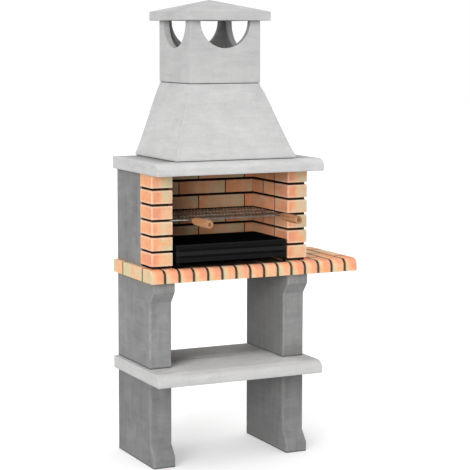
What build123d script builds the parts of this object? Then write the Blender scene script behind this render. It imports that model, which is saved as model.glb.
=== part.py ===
from build123d import *
import os

# An outdoor masonry barbecue: two pairs of concrete legs with a shelf between them, a brick worktop,
# a brick firebox with a grate that slides in its open bed joints, a mantel, a hood and a chimney.
# X runs along the worktop from its left end, Y from the worktop's front edge to the back, Z up from
# the floor. The last section moves the whole so that its origin is the middle of its base.

# Bricks and the joints between them
brick_length = 220.0
course_height = 56.4
bed_joint = 10.8
bottom_bed = 11.8
top_bed = 1.8
cross_joint = 3.0
smallest_cut = 20.0
course_count = 6

# Worktop: strips of brick laid front to back, side by side
worktop_width = 1000.0
worktop_thickness = 57.0
strip_width = 56.3
widest_strip_joint = 11.2
short_nose = 105.0
nose_radius = 30.0
strip_joint_recess = 2.0

# Legs and feet, cast in one mould: the foot stands toe down, the upper leg hangs toe up
leg_inset = 20.0
leg_width = 103.0
foot_height = 377.0
upper_leg_height = 381.0
shaft_front = 74.0
toe_projection = 40.0
toe_lip = 44.0
toe_slope_height = 50.0
toe_shaft_round = 10.0
leg_arris = 5.0

# Shelf and mantel slabs
slab_end_overhang = 21.0
slab_front_overhang = 69.0
shelf_thickness = 55.0
mantel_thickness = 54.0
slab_nose_depth = 48.0
slab_nose_height = 30.0

# Firebox: brick piers in front, concrete panels outside, a brick lining inside
pier_width = 97.0
pier_setback = 47.0
pier_brick_depth = 125.0
side_panel_thickness = 30.0
back_panel_thickness = 22.0
back_lining_thickness = 24.0
back_brick_length = 229.0
through_course_cut = 114.0
toothed_course_cut = 182.0
side_half_brick = 110.0
pier_bed_recess = 8.0
slot_depth = 13.0
back_recess_share = 0.5
cross_joint_recess = 1.5

# Smoke hole in the mantel
smoke_hole_side_margin = 45.0
smoke_hole_back_margin = 58.0
smoke_hole_front = 62.0

# Hood, chimney and cap
mortar_bed = 3.0
mortar_bed_recess = 4.0
hood_width = 573.0
hood_front_overhang = 12.0
hood_height = 321.0
hood_wall = 30.0
chimney_size = 335.0
chimney_height = 269.0
chimney_wall = 28.0
outlet_radius = 119.0
cap_overhang = 34.0
cap_edge = 39.0
cap_rise = 52.0

# Fire pan of folded steel sheet on four angle feet, with room round it for the firebox
pan_width = 528.0
pan_depth = 316.0
pan_side_gap = 13.0
pan_back_gap = 44.0
pan_wall_height = 76.0
pan_setback = 34.0
pan_sheet = 1.5
pan_corner_radius = 5.0
pan_hem_height = 9.0
bead_radius = 4.5
bead_end_margin = 17.0
bead_drop = 25.0
bead_pitch = 26.5
bead_row_count = 2
foot_rise = 24.0
foot_sheet = 2.0
foot_leg = 14.0
foot_inset = 1.5
running_gap = 0.3

# Cooking grate
courses_below_grate_count = 3
frame_radius = 2.5
slot_engagement = 8.0
frame_setback = 8.0
frame_back_gap = 12.0
frame_bend = 14.0
wire_radius = 1.5
widest_wire_pitch = 16.2
cross_rod_radius = 2.5
cross_rod_count = 2
weld_bite = 0.3

# Handles of turned wood on wire shanks
shank_radius = 3.0
shank_tail = 12.0
handle_offset = 211.0
handle_start = 34.0
handle_length = 151.0
handle_back_radius = 14.5
handle_belly_radius = 18.0
handle_front_radius = 17.0
handle_belly_share = 0.6
handle_edge_round = 2.5
shank_clearance = 0.3
washer_radius = 7.5
washer_thickness = 1.5
washer_clearance = 0.5
head_radius = 4.6
head_height = 2.2
end_recess = 5.0
collar_radius = 5.0
collar_length = 4.0

# Every cut runs this far past the faces that it opens
overrun = 1.0
quarter_turn_degrees = 90

# Levels, from the floor up
shelf_low = foot_height
shelf_top = shelf_low + shelf_thickness
worktop_low = shelf_top + upper_leg_height
worktop_top = worktop_low + worktop_thickness
first_course = worktop_top + bottom_bed
course_pitch = course_height + bed_joint
lining_top = first_course + course_count * course_pitch - bed_joint
mantel_low = lining_top + top_bed
mantel_top = mantel_low + mantel_thickness
hood_low = mantel_top + mortar_bed
hood_top = hood_low + hood_height
chimney_low = hood_top + mortar_bed
chimney_top = chimney_low + chimney_height

# Lines along X and Y that several pieces share: the firebox is built round the pan
base_left = leg_inset
inner_left = base_left + pier_width
inner_right = inner_left + pan_width + 2 * pan_side_gap
base_right = inner_right + pier_width
middle = (base_left + base_right) / 2
panel_face_left = base_left + side_panel_thickness
panel_face_right = base_right - side_panel_thickness
inner_back = pan_setback + pan_depth + pan_back_gap
back_panel_face = inner_back + back_lining_thickness
back = back_panel_face + back_panel_thickness
pier_back = pier_setback + pier_brick_depth
slab_front = -slab_front_overhang
hood_front = -hood_front_overhang
chimney_front = back - chimney_size
cap_back = back + cap_overhang
handle_front = -handle_start - handle_length


def block(xs, ys, zs):
    """A plain block between three pairs of limits."""
    corner = (Align.MIN, Align.MIN, Align.MIN)
    return Pos(xs[0], ys[0], zs[0]) * Box(xs[1] - xs[0], ys[1] - ys[0], zs[1] - zs[0], align=corner)


def around_middle(width):
    """Limits along X of something centred on the firebox."""
    return (middle - width / 2, middle + width / 2)


def lay(start, end, first, length):
    """Spans of the bricks laid from start to end, with the first one cut to its own length."""
    spans = []
    cursor = start
    piece = first
    while end - cursor > piece + cross_joint + smallest_cut:
        spans.append((cursor, cursor + piece))
        cursor += piece + cross_joint
        piece = length
    spans.append((cursor, end))
    return spans


def joints_between(spans):
    """Spans of the cross joints between neighbouring bricks."""
    return [(near[1], far[0]) for near, far in zip(spans, spans[1:])]


def course_levels():
    """Lower and upper level of each brick course of the firebox."""
    lows = [first_course + course * course_pitch for course in range(course_count)]
    return [(low, low + course_height) for low in lows]


def bed_levels():
    """Lower and upper level of each mortar bed of the firebox, from the worktop to the mantel."""
    beds = [(worktop_top, first_course)]
    beds += [(low - bed_joint, low) for low, high in course_levels()[1:]]
    return beds + [(lining_top, mantel_low)]


def profile_along_x(outline, start, end):
    """Extrude an outline drawn in Y and Z from one X to another."""
    return extrude(Plane.YZ.offset(start) * outline, amount=end - start)


# Legs and feet
def leg(height, left, low, toe_up):
    """One leg, with its toe at the bottom, or at the top where it carries the worktop."""
    points = [
        (back, 0),
        (back, height),
        (shaft_front, height),
        (shaft_front, toe_lip + toe_slope_height),
        (shaft_front - toe_projection, toe_lip),
        (shaft_front - toe_projection, 0),
    ]
    outline = make_face(Polyline(*points, close=True))
    shaft_corner = outline.vertices().sort_by_distance(points[3])[0]
    outline = fillet(shaft_corner, toe_shaft_round)
    body = profile_along_x(outline, left, left + leg_width)
    front_edges = [
        edge
        for edge in body.edges().filter_by(Plane.YZ)
        if edge.center().Y < shaft_front + overrun and edge.length > overrun
    ]
    body = chamfer(front_edges, leg_arris)
    if toe_up:
        body = mirror(body, Plane.XY.offset(height / 2))
    return Pos(0, 0, low) * body


# Shelf and mantel slabs
def slab(low, thickness):
    """A slab with an elliptical nose along its front top edge."""
    top = low + thickness
    nose = EllipticalCenterArc(
        (slab_front + slab_nose_depth, top - slab_nose_height),
        slab_nose_depth,
        slab_nose_height,
        start_angle=quarter_turn_degrees,
        arc_size=quarter_turn_degrees,
    )
    rim = Polyline(nose @ 1, (slab_front, low), (back, low), (back, top), nose @ 0)
    outline = make_face([nose, rim])
    return profile_along_x(
        outline, base_left - slab_end_overhang, base_right + slab_end_overhang
    )


def mantel():
    """The mantel slab with the smoke hole under the hood."""
    hole = block(
        around_middle(hood_width - 2 * smoke_hole_side_margin),
        (smoke_hole_front, back - smoke_hole_back_margin),
        (mantel_low - overrun, mantel_top + overrun),
    )
    return slab(mantel_low, mantel_thickness) - hole


# Worktop
def strip_places():
    """Left and right side of each strip of bricks, with whole strips filling the width."""
    count = round((worktop_width + widest_strip_joint) / (strip_width + widest_strip_joint))
    joint = (worktop_width - count * strip_width) / (count - 1)
    lefts = [index * (strip_width + joint) for index in range(count)]
    return [(left, left + strip_width) for left in lefts]


def nosed_piece(xs, front, end, low, top, radius):
    """A piece whose front top edge is rounded, from its front to its end."""
    outline = make_face(Polyline((front, low), (end, low), (end, top), (front, top), close=True))
    nose_corner = outline.vertices().group_by(Axis.Y)[-1].sort_by(Axis.X)[0]
    return profile_along_x(fillet(nose_corner, radius), xs[0], xs[1])


def strip_spans(index):
    """Brick spans along Y in one strip: neighbouring strips break joint."""
    first = brick_length if index % 2 else short_nose
    return lay(0, back, first, brick_length)


def worktop_nose_bricks():
    """The rounded front brick of each strip."""
    bricks = []
    for index, xs in enumerate(strip_places()):
        front, end = strip_spans(index)[0]
        bricks.append(nosed_piece(xs, front, end, worktop_low, worktop_top, nose_radius))
    return bricks


def worktop_field_bricks():
    """The bricks behind the front one in each strip."""
    bricks = []
    for index, xs in enumerate(strip_places()):
        for ys in strip_spans(index)[1:]:
            bricks.append(block(xs, ys, (worktop_low, worktop_top)))
    return bricks


def worktop_strip_mortar():
    """The dark mortar between the strips, a little below the brick faces."""
    places = strip_places()
    mortar = []
    for xs in joints_between(places):
        mortar.append(
            nosed_piece(
                xs,
                strip_joint_recess,
                back,
                worktop_low,
                worktop_top - strip_joint_recess,
                nose_radius,
            )
        )
    return mortar


def worktop_cross_mortar():
    """The thin cross joints inside the strips."""
    mortar = []
    for index, xs in enumerate(strip_places()):
        for ys in joints_between(strip_spans(index)):
            mortar.append(block(xs, ys, (worktop_low, worktop_top - cross_joint_recess)))
    return mortar


# Firebox
def pier_bricks(left, right):
    """One brick a course, over the full width of a pier."""
    return [block((left, right), (pier_setback, pier_back), zs) for zs in course_levels()]


def is_toothed(course):
    """Every second course, the bottom one first, has its side lining run through to the back."""
    return course % 2 == 0


def side_spans(course):
    """Brick spans along Y in a side lining."""
    start = pier_back + cross_joint
    if is_toothed(course):
        return lay(start, back_panel_face, side_half_brick, brick_length)
    return [(start, inner_back)]


def back_spans(course):
    """Brick spans along X in the back lining."""
    if is_toothed(course):
        return lay(inner_left, inner_right, toothed_course_cut, back_brick_length)
    return lay(panel_face_left, panel_face_right, through_course_cut, back_brick_length)


def side_lining(xs):
    """The lining bricks along one side, behind the pier."""
    bricks = []
    for course, zs in enumerate(course_levels()):
        bricks += [block(xs, ys, zs) for ys in side_spans(course)]
    return bricks


def back_lining():
    """The lining bricks across the back."""
    bricks = []
    for course, zs in enumerate(course_levels()):
        bricks += [block(xs, (inner_back, back_panel_face), zs) for xs in back_spans(course)]
    return bricks


def side_beds(outer, pier_outer, inner):
    """Mortar beds of one side: under each pier brick and under the lining behind it."""
    beds = []
    for zs in bed_levels():
        pier_ys = (pier_setback + pier_bed_recess, pier_back)
        beds.append(block(sorted((pier_outer, inner)), pier_ys, zs))
        beds.append(block(sorted((outer, inner)), (pier_back, back_panel_face), zs))
    return beds


def back_beds():
    """Mortar beds across the back, between those of the sides."""
    recess = back_lining_thickness * back_recess_share
    xs = (inner_left - slot_depth, inner_right + slot_depth)
    return [block(xs, (inner_back + recess, back_panel_face), zs) for zs in bed_levels()]


def lining_cross_mortar():
    """The thin cross joints of the lining, between the pier and the side bricks as well."""
    mortar = []
    left_xs = (panel_face_left, inner_left - cross_joint_recess)
    right_xs = (inner_right + cross_joint_recess, panel_face_right)
    back_ys = (inner_back + cross_joint_recess, back_panel_face)
    for course, zs in enumerate(course_levels()):
        side_joints = [(pier_back, pier_back + cross_joint)] + joints_between(side_spans(course))
        for ys in side_joints:
            mortar.append(block(left_xs, ys, zs))
            mortar.append(block(right_xs, ys, zs))
        for xs in joints_between(back_spans(course)):
            mortar.append(block(xs, back_ys, zs))
    return mortar


def side_panel(xs):
    """A concrete panel on the outside of the firebox, behind the pier."""
    return block(xs, (pier_back, back), (worktop_top, mantel_low))


def back_panel():
    """The concrete panel between the side panels."""
    xs = (panel_face_left, panel_face_right)
    return block(xs, (back_panel_face, back), (worktop_top, mantel_low))


# Hood, chimney and cap
def frame_between(outer_xs, outer_ys, inner_xs, inner_ys, zs):
    """A flat rectangular ring."""
    hole = block(inner_xs, inner_ys, (zs[0] - overrun, zs[1] + overrun))
    return block(outer_xs, outer_ys, zs) - hole


def rectangle_at(xs, ys, z):
    """A flat rectangle at one level."""
    centre = Pos((xs[0] + xs[1]) / 2, (ys[0] + ys[1]) / 2, z)
    return centre * Rectangle(xs[1] - xs[0], ys[1] - ys[0])


def hood_mortar():
    """The mortar bed that seats the hood on the mantel."""
    return frame_between(
        around_middle(hood_width - 2 * mortar_bed_recess),
        (hood_front + mortar_bed_recess, back - mortar_bed_recess),
        around_middle(hood_width - 2 * hood_wall),
        (hood_front + hood_wall, back - hood_wall),
        (mantel_top, hood_low),
    )


def hood():
    """A hollow hood, upright at the back and sloping in on the other three sides."""
    outer = loft([
        rectangle_at(around_middle(hood_width), (hood_front, back), hood_low),
        rectangle_at(around_middle(chimney_size), (chimney_front, back), hood_top),
    ])
    inner = loft([
        rectangle_at(
            around_middle(hood_width - 2 * hood_wall),
            (hood_front + hood_wall, back - hood_wall),
            hood_low,
        ),
        rectangle_at(
            around_middle(chimney_size - 2 * chimney_wall),
            (chimney_front + chimney_wall, back - chimney_wall),
            hood_top,
        ),
    ])
    return outer - inner


def chimney_ring(inset, zs):
    """A square ring of the chimney's wall, set in on its outside."""
    return frame_between(
        around_middle(chimney_size - 2 * inset),
        (chimney_front + inset, back - inset),
        around_middle(chimney_size - 2 * chimney_wall),
        (chimney_front + chimney_wall, back - chimney_wall),
        zs,
    )


def chimney():
    """A square flue with a half-round smoke outlet in the top of each side."""
    walls = chimney_ring(0, (chimney_low, chimney_top))
    centre = Pos(middle, (chimney_front + back) / 2, chimney_top)
    bore = Cylinder(outlet_radius, chimney_size + 2 * overrun)
    walls -= centre * Rot(quarter_turn_degrees, 0, 0) * bore
    walls -= centre * Rot(0, quarter_turn_degrees, 0) * bore
    return walls


def chimney_cap():
    """A flat-edged cap with a low pyramid on top: two gabled bars crossed."""
    half = chimney_size / 2 + cap_overhang
    gable = Polyline(
        (-half, 0), (half, 0), (half, cap_edge), (0, cap_edge + cap_rise), (-half, cap_edge),
        close=True,
    )
    along_x = extrude(Plane.YZ * make_face(gable), amount=half, both=True)
    along_y = extrude(Plane.XZ * make_face(gable), amount=half, both=True)
    return Pos(middle, (chimney_front + back) / 2, chimney_top) * (along_x & along_y)


# Fire pan
pan_left = middle - pan_width / 2
pan_right = middle + pan_width / 2
pan_front = pan_setback
pan_back = pan_front + pan_depth
pan_floor = worktop_top + running_gap + foot_rise
pan_rim = pan_floor + pan_wall_height


def rounded_tray_block(inset, low, top):
    """A block as long and wide as the pan less an inset, with rounded upright corners."""
    outline = RectangleRounded(
        pan_width - 2 * inset, pan_depth - 2 * inset, pan_corner_radius - inset
    )
    return Pos(middle, (pan_front + pan_back) / 2, low) * extrude(outline, amount=top - low)


def fire_pan_tray():
    """An open tray with a hemmed rim and two stiffening beads pressed into its front and back."""
    tray = rounded_tray_block(0, pan_floor, pan_rim)
    tray -= rounded_tray_block(pan_sheet, pan_floor + pan_sheet, pan_rim - pan_hem_height)
    tray -= rounded_tray_block(2 * pan_sheet, pan_rim - pan_hem_height, pan_rim + overrun)
    bead_length = pan_width - 2 * bead_end_margin
    sideways = Rot(0, quarter_turn_degrees, 0)
    rib = sideways * Cylinder(bead_radius + pan_sheet, bead_length + 2 * pan_sheet)
    groove = sideways * Cylinder(bead_radius, bead_length)
    for row in range(bead_row_count):
        level = pan_rim - bead_drop - row * bead_pitch
        for face, inward in ((pan_front, 1), (pan_back, -1)):
            reach = (face, face + inward * (bead_radius + pan_sheet))
            inner_half = block((pan_left, pan_right), sorted(reach), (pan_floor, pan_rim))
            tray += (Pos(middle, face, level) * rib) & inner_half
            tray -= Pos(middle, face, level) * groove
    return tray


def fire_pan_feet():
    """Four feet of folded angle under the corners of the pan."""
    low = worktop_top + running_gap
    lip_top = pan_floor
    feet = []
    for x, side in ((pan_left + foot_inset, 1), (pan_right - foot_inset, -1)):
        for y, depth in ((pan_front + foot_inset, 1), (pan_back - foot_inset, -1)):
            leg_xs = sorted((x, x + side * foot_leg))
            leg_ys = sorted((y, y + depth * foot_leg))
            thin_xs = sorted((x, x + side * foot_sheet))
            thin_ys = sorted((y, y + depth * foot_sheet))
            foot = block(leg_xs, thin_ys, (low, lip_top))
            foot += block(thin_xs, leg_ys, (low, lip_top))
            foot += block(leg_xs, leg_ys, (lip_top - foot_sheet, lip_top))
            feet.append(foot)
    return feet


# Cooking grate
frame_left = inner_left - slot_engagement + frame_radius
frame_right = inner_right + slot_engagement - frame_radius
frame_front = pier_setback + frame_setback
frame_back = inner_back - frame_back_gap - frame_radius
slot_floor = course_levels()[courses_below_grate_count - 1][1]
frame_level = slot_floor + running_gap + frame_radius
frame_top = frame_level + frame_radius
wire_level = frame_top + wire_radius - weld_bite
shank_level = frame_top + shank_radius - weld_bite
cross_rod_level = frame_top - cross_rod_radius
wire_gaps = round((frame_right - frame_left) / widest_wire_pitch)
wire_pitch = (frame_right - frame_left) / wire_gaps
gap_phase = 0 if wire_gaps % 2 else 1 / 2
shank_offset = (round(handle_offset / wire_pitch - gap_phase) + gap_phase) * wire_pitch


def rod(start, end, radius):
    """A round rod between two points."""
    axis = Line(start, end)
    return extrude(Plane(origin=axis @ 0, z_dir=axis % 0) * Circle(radius), amount=axis.length)


def cross_rod_places():
    """The rods under the wires share the depth of the frame evenly."""
    step = (frame_back - frame_front) / (cross_rod_count + 1)
    return [frame_front + step * (index + 1) for index in range(cross_rod_count)]


def grate_frame():
    """The bent rod round the grate, whose sides run in the open bed joints."""
    outline = RectangleRounded(frame_right - frame_left, frame_back - frame_front, frame_bend)
    path = (Pos(middle, (frame_front + frame_back) / 2, frame_level) * outline).wire()
    section = Plane(origin=path @ 0, z_dir=path % 0) * Circle(frame_radius)
    return sweep(section, path=path)


def grate_cross_rods():
    """Rods across the frame that carry the wires."""
    left = frame_left + frame_radius - weld_bite
    right = frame_right - frame_radius + weld_bite
    return [
        rod((left, y, cross_rod_level), (right, y, cross_rod_level), cross_rod_radius)
        for y in cross_rod_places()
    ]


def grate_wires():
    """The wires from front to back, welded on top of the frame."""
    wires = []
    for index in range(1, wire_gaps):
        x = frame_left + index * wire_pitch
        wires.append(rod((x, frame_front, wire_level), (x, frame_back, wire_level), wire_radius))
    return wires


# Handles
def turned(profile, x):
    """Turn a profile of distances from the handle's front and from its axis into a solid."""
    body = revolve(profile, Axis.X)
    return Pos(x, handle_front, shank_level) * Rot(0, 0, quarter_turn_degrees) * body


def handle_shank(x):
    """A wire from the first cross rod through the handle, with a collar and a peened head."""
    tail = cross_rod_places()[0] + shank_tail
    seat = end_recess - washer_thickness
    body = rod((x, handle_front + seat, shank_level), (x, tail, shank_level), shank_radius)
    head_back = handle_front + seat
    body += rod((x, head_back - head_height, shank_level), (x, head_back, shank_level), head_radius)
    collar_front = handle_front + handle_length + running_gap
    body += rod(
        (x, collar_front, shank_level),
        (x, collar_front + collar_length, shank_level),
        collar_radius,
    )
    return body


def handle(x):
    """A turned handle with a belly, bored for its shank and recessed for the washer."""
    bore = shank_radius + shank_clearance
    recess = washer_radius + washer_clearance
    belly = handle_length * (1 - handle_belly_share)
    swell = ThreePointArc(
        (0, handle_front_radius), (belly, handle_belly_radius), (handle_length, handle_back_radius)
    )
    rest = Polyline(
        swell @ 1, (handle_length, bore), (end_recess, bore), (end_recess, recess), (0, recess),
        swell @ 0,
    )
    profile = make_face([swell, rest])
    corners = [
        vertex
        for vertex in profile.vertices()
        if vertex.Y > recess + overrun
    ]
    return turned(fillet(corners, handle_edge_round), x)


def handle_washer(x):
    """The washer between a handle and the peened head of its shank."""
    profile = make_face(Polyline(
        (end_recess - washer_thickness, shank_radius + shank_clearance),
        (end_recess, shank_radius + shank_clearance),
        (end_recess, washer_radius),
        (end_recess - washer_thickness, washer_radius),
        close=True,
    ))
    return turned(profile, x)


# Write each sub-part with the origin in the middle of the base
origin_x = worktop_width / 2
origin_y = (handle_front + cap_back) / 2


def write(node, pieces):
    """Move the pieces of one sub-part into the part's frame and write them."""
    solids = pieces if isinstance(pieces, list) else [pieces]
    moved = [Pos(-origin_x, -origin_y, 0) * solid for piece in solids for solid in piece.solids()]
    export_step(Compound(moved) if len(moved) > 1 else moved[0], f"parts/{node}.step")


def main():
    """Build every sub-part from the floor up."""
    os.makedirs("parts", exist_ok=True)
    right_leg = base_right - leg_width
    write("left_foot", leg(foot_height, base_left, 0, False))
    write("right_foot", leg(foot_height, right_leg, 0, False))
    write("shelf_slab", slab(shelf_low, shelf_thickness))
    write("left_upper_leg", leg(upper_leg_height, base_left, shelf_top, True))
    write("right_upper_leg", leg(upper_leg_height, right_leg, shelf_top, True))
    write("worktop_nose_bricks", worktop_nose_bricks())
    write("worktop_field_bricks", worktop_field_bricks())
    write("worktop_strip_mortar", worktop_strip_mortar())
    write("worktop_cross_mortar", worktop_cross_mortar())
    write("left_pier_bricks", pier_bricks(base_left, inner_left))
    write("right_pier_bricks", pier_bricks(inner_right, base_right))
    write("left_side_panel", side_panel((base_left, panel_face_left)))
    write("right_side_panel", side_panel((panel_face_right, base_right)))
    write("back_panel", back_panel())
    write("left_lining_bricks", side_lining((panel_face_left, inner_left)))
    write("right_lining_bricks", side_lining((inner_right, panel_face_right)))
    write("back_lining_bricks", back_lining())
    left_beds = (panel_face_left, base_left + pier_bed_recess, inner_left - slot_depth)
    right_beds = (panel_face_right, base_right - pier_bed_recess, inner_right + slot_depth)
    write("left_bed_mortar", side_beds(*left_beds))
    write("right_bed_mortar", side_beds(*right_beds))
    write("back_bed_mortar", back_beds())
    write("lining_cross_mortar", lining_cross_mortar())
    write("mantel_slab", mantel())
    write("hood_mortar", hood_mortar())
    write("hood", hood())
    write("chimney_mortar", chimney_ring(mortar_bed_recess, (hood_top, chimney_low)))
    write("chimney", chimney())
    write("chimney_cap", chimney_cap())
    write("fire_pan_tray", fire_pan_tray())
    write("fire_pan_feet", fire_pan_feet())
    write("grate_frame", grate_frame())
    write("grate_cross_rods", grate_cross_rods())
    write("grate_wires", grate_wires())
    shanks = (middle - shank_offset, middle + shank_offset)
    write("handle_shanks", [handle_shank(x) for x in shanks])
    write("left_handle", handle(shanks[0]))
    write("right_handle", handle(shanks[1]))
    write("handle_washers", [handle_washer(x) for x in shanks])


if __name__ == "__main__":
    main()
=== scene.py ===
"""Looks of an outdoor masonry barbecue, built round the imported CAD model.

The legs, slabs, hood, chimney and cap are meshed as castings from rings, and the bricks and mortar
as blocks with worn arrises, each in the place of its CAD node. The fire pan, the grate and the
handles keep their CAD shapes and get their finishes. Lengths are metres in the model's own frame.
"""

import logging
import math
import random
from collections.abc import Callable, Sequence
from dataclasses import dataclass, replace
from enum import Enum
from typing import Any

import bmesh
import bpy
from mathutils import Matrix, Vector, noise

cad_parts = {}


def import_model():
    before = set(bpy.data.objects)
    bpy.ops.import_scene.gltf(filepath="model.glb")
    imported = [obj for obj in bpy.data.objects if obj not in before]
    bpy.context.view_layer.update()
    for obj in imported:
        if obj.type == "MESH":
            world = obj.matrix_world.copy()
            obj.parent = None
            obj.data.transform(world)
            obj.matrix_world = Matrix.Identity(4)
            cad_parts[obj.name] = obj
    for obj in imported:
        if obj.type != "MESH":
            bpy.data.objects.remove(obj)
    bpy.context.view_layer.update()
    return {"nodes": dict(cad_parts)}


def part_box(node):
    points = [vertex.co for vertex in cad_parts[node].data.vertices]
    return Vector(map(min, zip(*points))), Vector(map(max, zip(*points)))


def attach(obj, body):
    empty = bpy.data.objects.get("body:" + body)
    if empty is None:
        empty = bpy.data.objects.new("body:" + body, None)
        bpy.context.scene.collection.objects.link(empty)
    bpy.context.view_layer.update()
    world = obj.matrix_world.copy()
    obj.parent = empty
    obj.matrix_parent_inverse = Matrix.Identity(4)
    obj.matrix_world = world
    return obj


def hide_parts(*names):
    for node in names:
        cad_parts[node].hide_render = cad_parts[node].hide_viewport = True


log = logging.getLogger("barbecue")

Triple = tuple[float, float, float]
Colour = Triple
Span = tuple[float, float]
Stops = Sequence[tuple[float, Colour]]
Bend = Callable[[Vector], Vector]
ByPlace = Callable[[Vector], float]
Columns = Callable[[float, float], list[float]]

# The body of every piece that is meshed here; the loose parts ride with their CAD nodes.
MASONRY = "masonry"
# Seed of the firing of the bricks.
DRAW_SEED = 7
# Way through the noise from one block's seed to the next, and to the chips of the castings.
SEED_STEP: Triple = (3.17, 1.71, 2.33)
CHIP_SHIFT = Vector((9.1, 3.3, 5.7))
# Sockets of a Mix node that blends colours: its two inputs and its output.
MIX_FIRST, MIX_SECOND, MIX_OUT = 6, 7, 2


class Slot(Enum):
    """The record's material slots of the pieces that are meshed here."""

    GREY_CONCRETE = "grey_concrete"
    LIGHT_CONCRETE = "light_concrete"
    FIREBRICK = "firebrick"
    DARK_MORTAR = "dark_mortar"
    BROWN_MORTAR = "brown_mortar"


class Mark(Enum):
    """The marks that a mesh carries on its points for its finish."""

    ARRIS = "arris"
    FIRING = "firing"
    # Soot, and also painted shade: the same mark darkens faces that stand in shade.
    SOOT_AND_SHADE = "soot"


class Toe(Enum):
    """The end of a leg at which its toe stands."""

    DOWN = "down"
    UP = "up"


def shown(red: float, green: float, blue: float) -> Colour:
    """Turn a colour as a screen shows it, 0 to 255, into the linear one that shaders take.

    Args:
        red: Red share, 0 to 255.
        green: Green share, 0 to 255.
        blue: Blue share, 0 to 255.

    Returns:
        The linear colour.
    """
    linear = []
    for share in (red / 255, green / 255, blue / 255):
        linear.append(share / 12.92 if share <= 0.04045 else ((share + 0.055) / 1.055) ** 2.4)
    return (linear[0], linear[1], linear[2])


def clamped(value: float) -> float:
    """Keep a number between 0 and 1."""
    return min(1.0, max(0.0, value))


# Shader maths


class Signal:
    """A value in a finish: wraps a socket, and arithmetic on it adds Math nodes."""

    def __init__(self, sheet: "FinishSheet", socket: bpy.types.NodeSocket) -> None:
        """Wrap one output socket of a sheet's nodes."""
        self.sheet = sheet
        self.socket = socket

    def _math(self, operation: str, *operands: "Signal | float") -> "Signal":
        """Add one Math node on these operands."""
        settings, sockets = {"operation": operation}, dict(enumerate(operands))
        return self.sheet.node("ShaderNodeMath", settings, sockets)

    def __add__(self, other: "Signal | float") -> "Signal":
        """Add a value."""
        return self._math("ADD", self, other)

    __radd__ = __add__

    def __sub__(self, other: "Signal | float") -> "Signal":
        """Take a value away."""
        return self._math("SUBTRACT", self, other)

    def __rsub__(self, other: "Signal | float") -> "Signal":
        """Take this away from a value."""
        return self._math("SUBTRACT", other, self)

    def __mul__(self, other: "Signal | float") -> "Signal":
        """Multiply by a value."""
        return self._math("MULTIPLY", self, other)

    __rmul__ = __mul__

    def __truediv__(self, other: "Signal | float") -> "Signal":
        """Divide by a value."""
        return self._math("DIVIDE", self, other)

    def __rtruediv__(self, other: "Signal | float") -> "Signal":
        """Divide a value by this."""
        return self._math("DIVIDE", other, self)

    def limited(self) -> "Signal":
        """Keep the value between 0 and 1."""
        return self._math("MAXIMUM", self._math("MINIMUM", self, 1.0), 0.0)

    def over(self, start: float, end: float) -> "Signal":
        """Rise from 0 at start to 1 at end, and stay there.

        Args:
            start: The value at which the result leaves 0.
            end: The value at which the result reaches 1.

        Returns:
            The limited share.
        """
        return ((self - start) / (end - start)).limited()


@dataclass(frozen=True)
class Layer:
    """A layer of noise about one half.

    Scale counts features in a metre, detail the finer layers on top, twist distorts it, stretch
    multiplies the point along each axis, and limits, where it has them, cut it to 0 and 1 there.
    """

    scale: float = 1.0
    detail: float = 2.0
    twist: float = 0.0
    stretch: Triple = (1.0, 1.0, 1.0)
    limits: Span | None = None


@dataclass(frozen=True)
class Specks:
    """Scattered round specks: cells in a metre, and the share of a cell that one reaches."""

    scale: float
    size: float
    scatter: Span = (0.5, 0.62)


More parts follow.
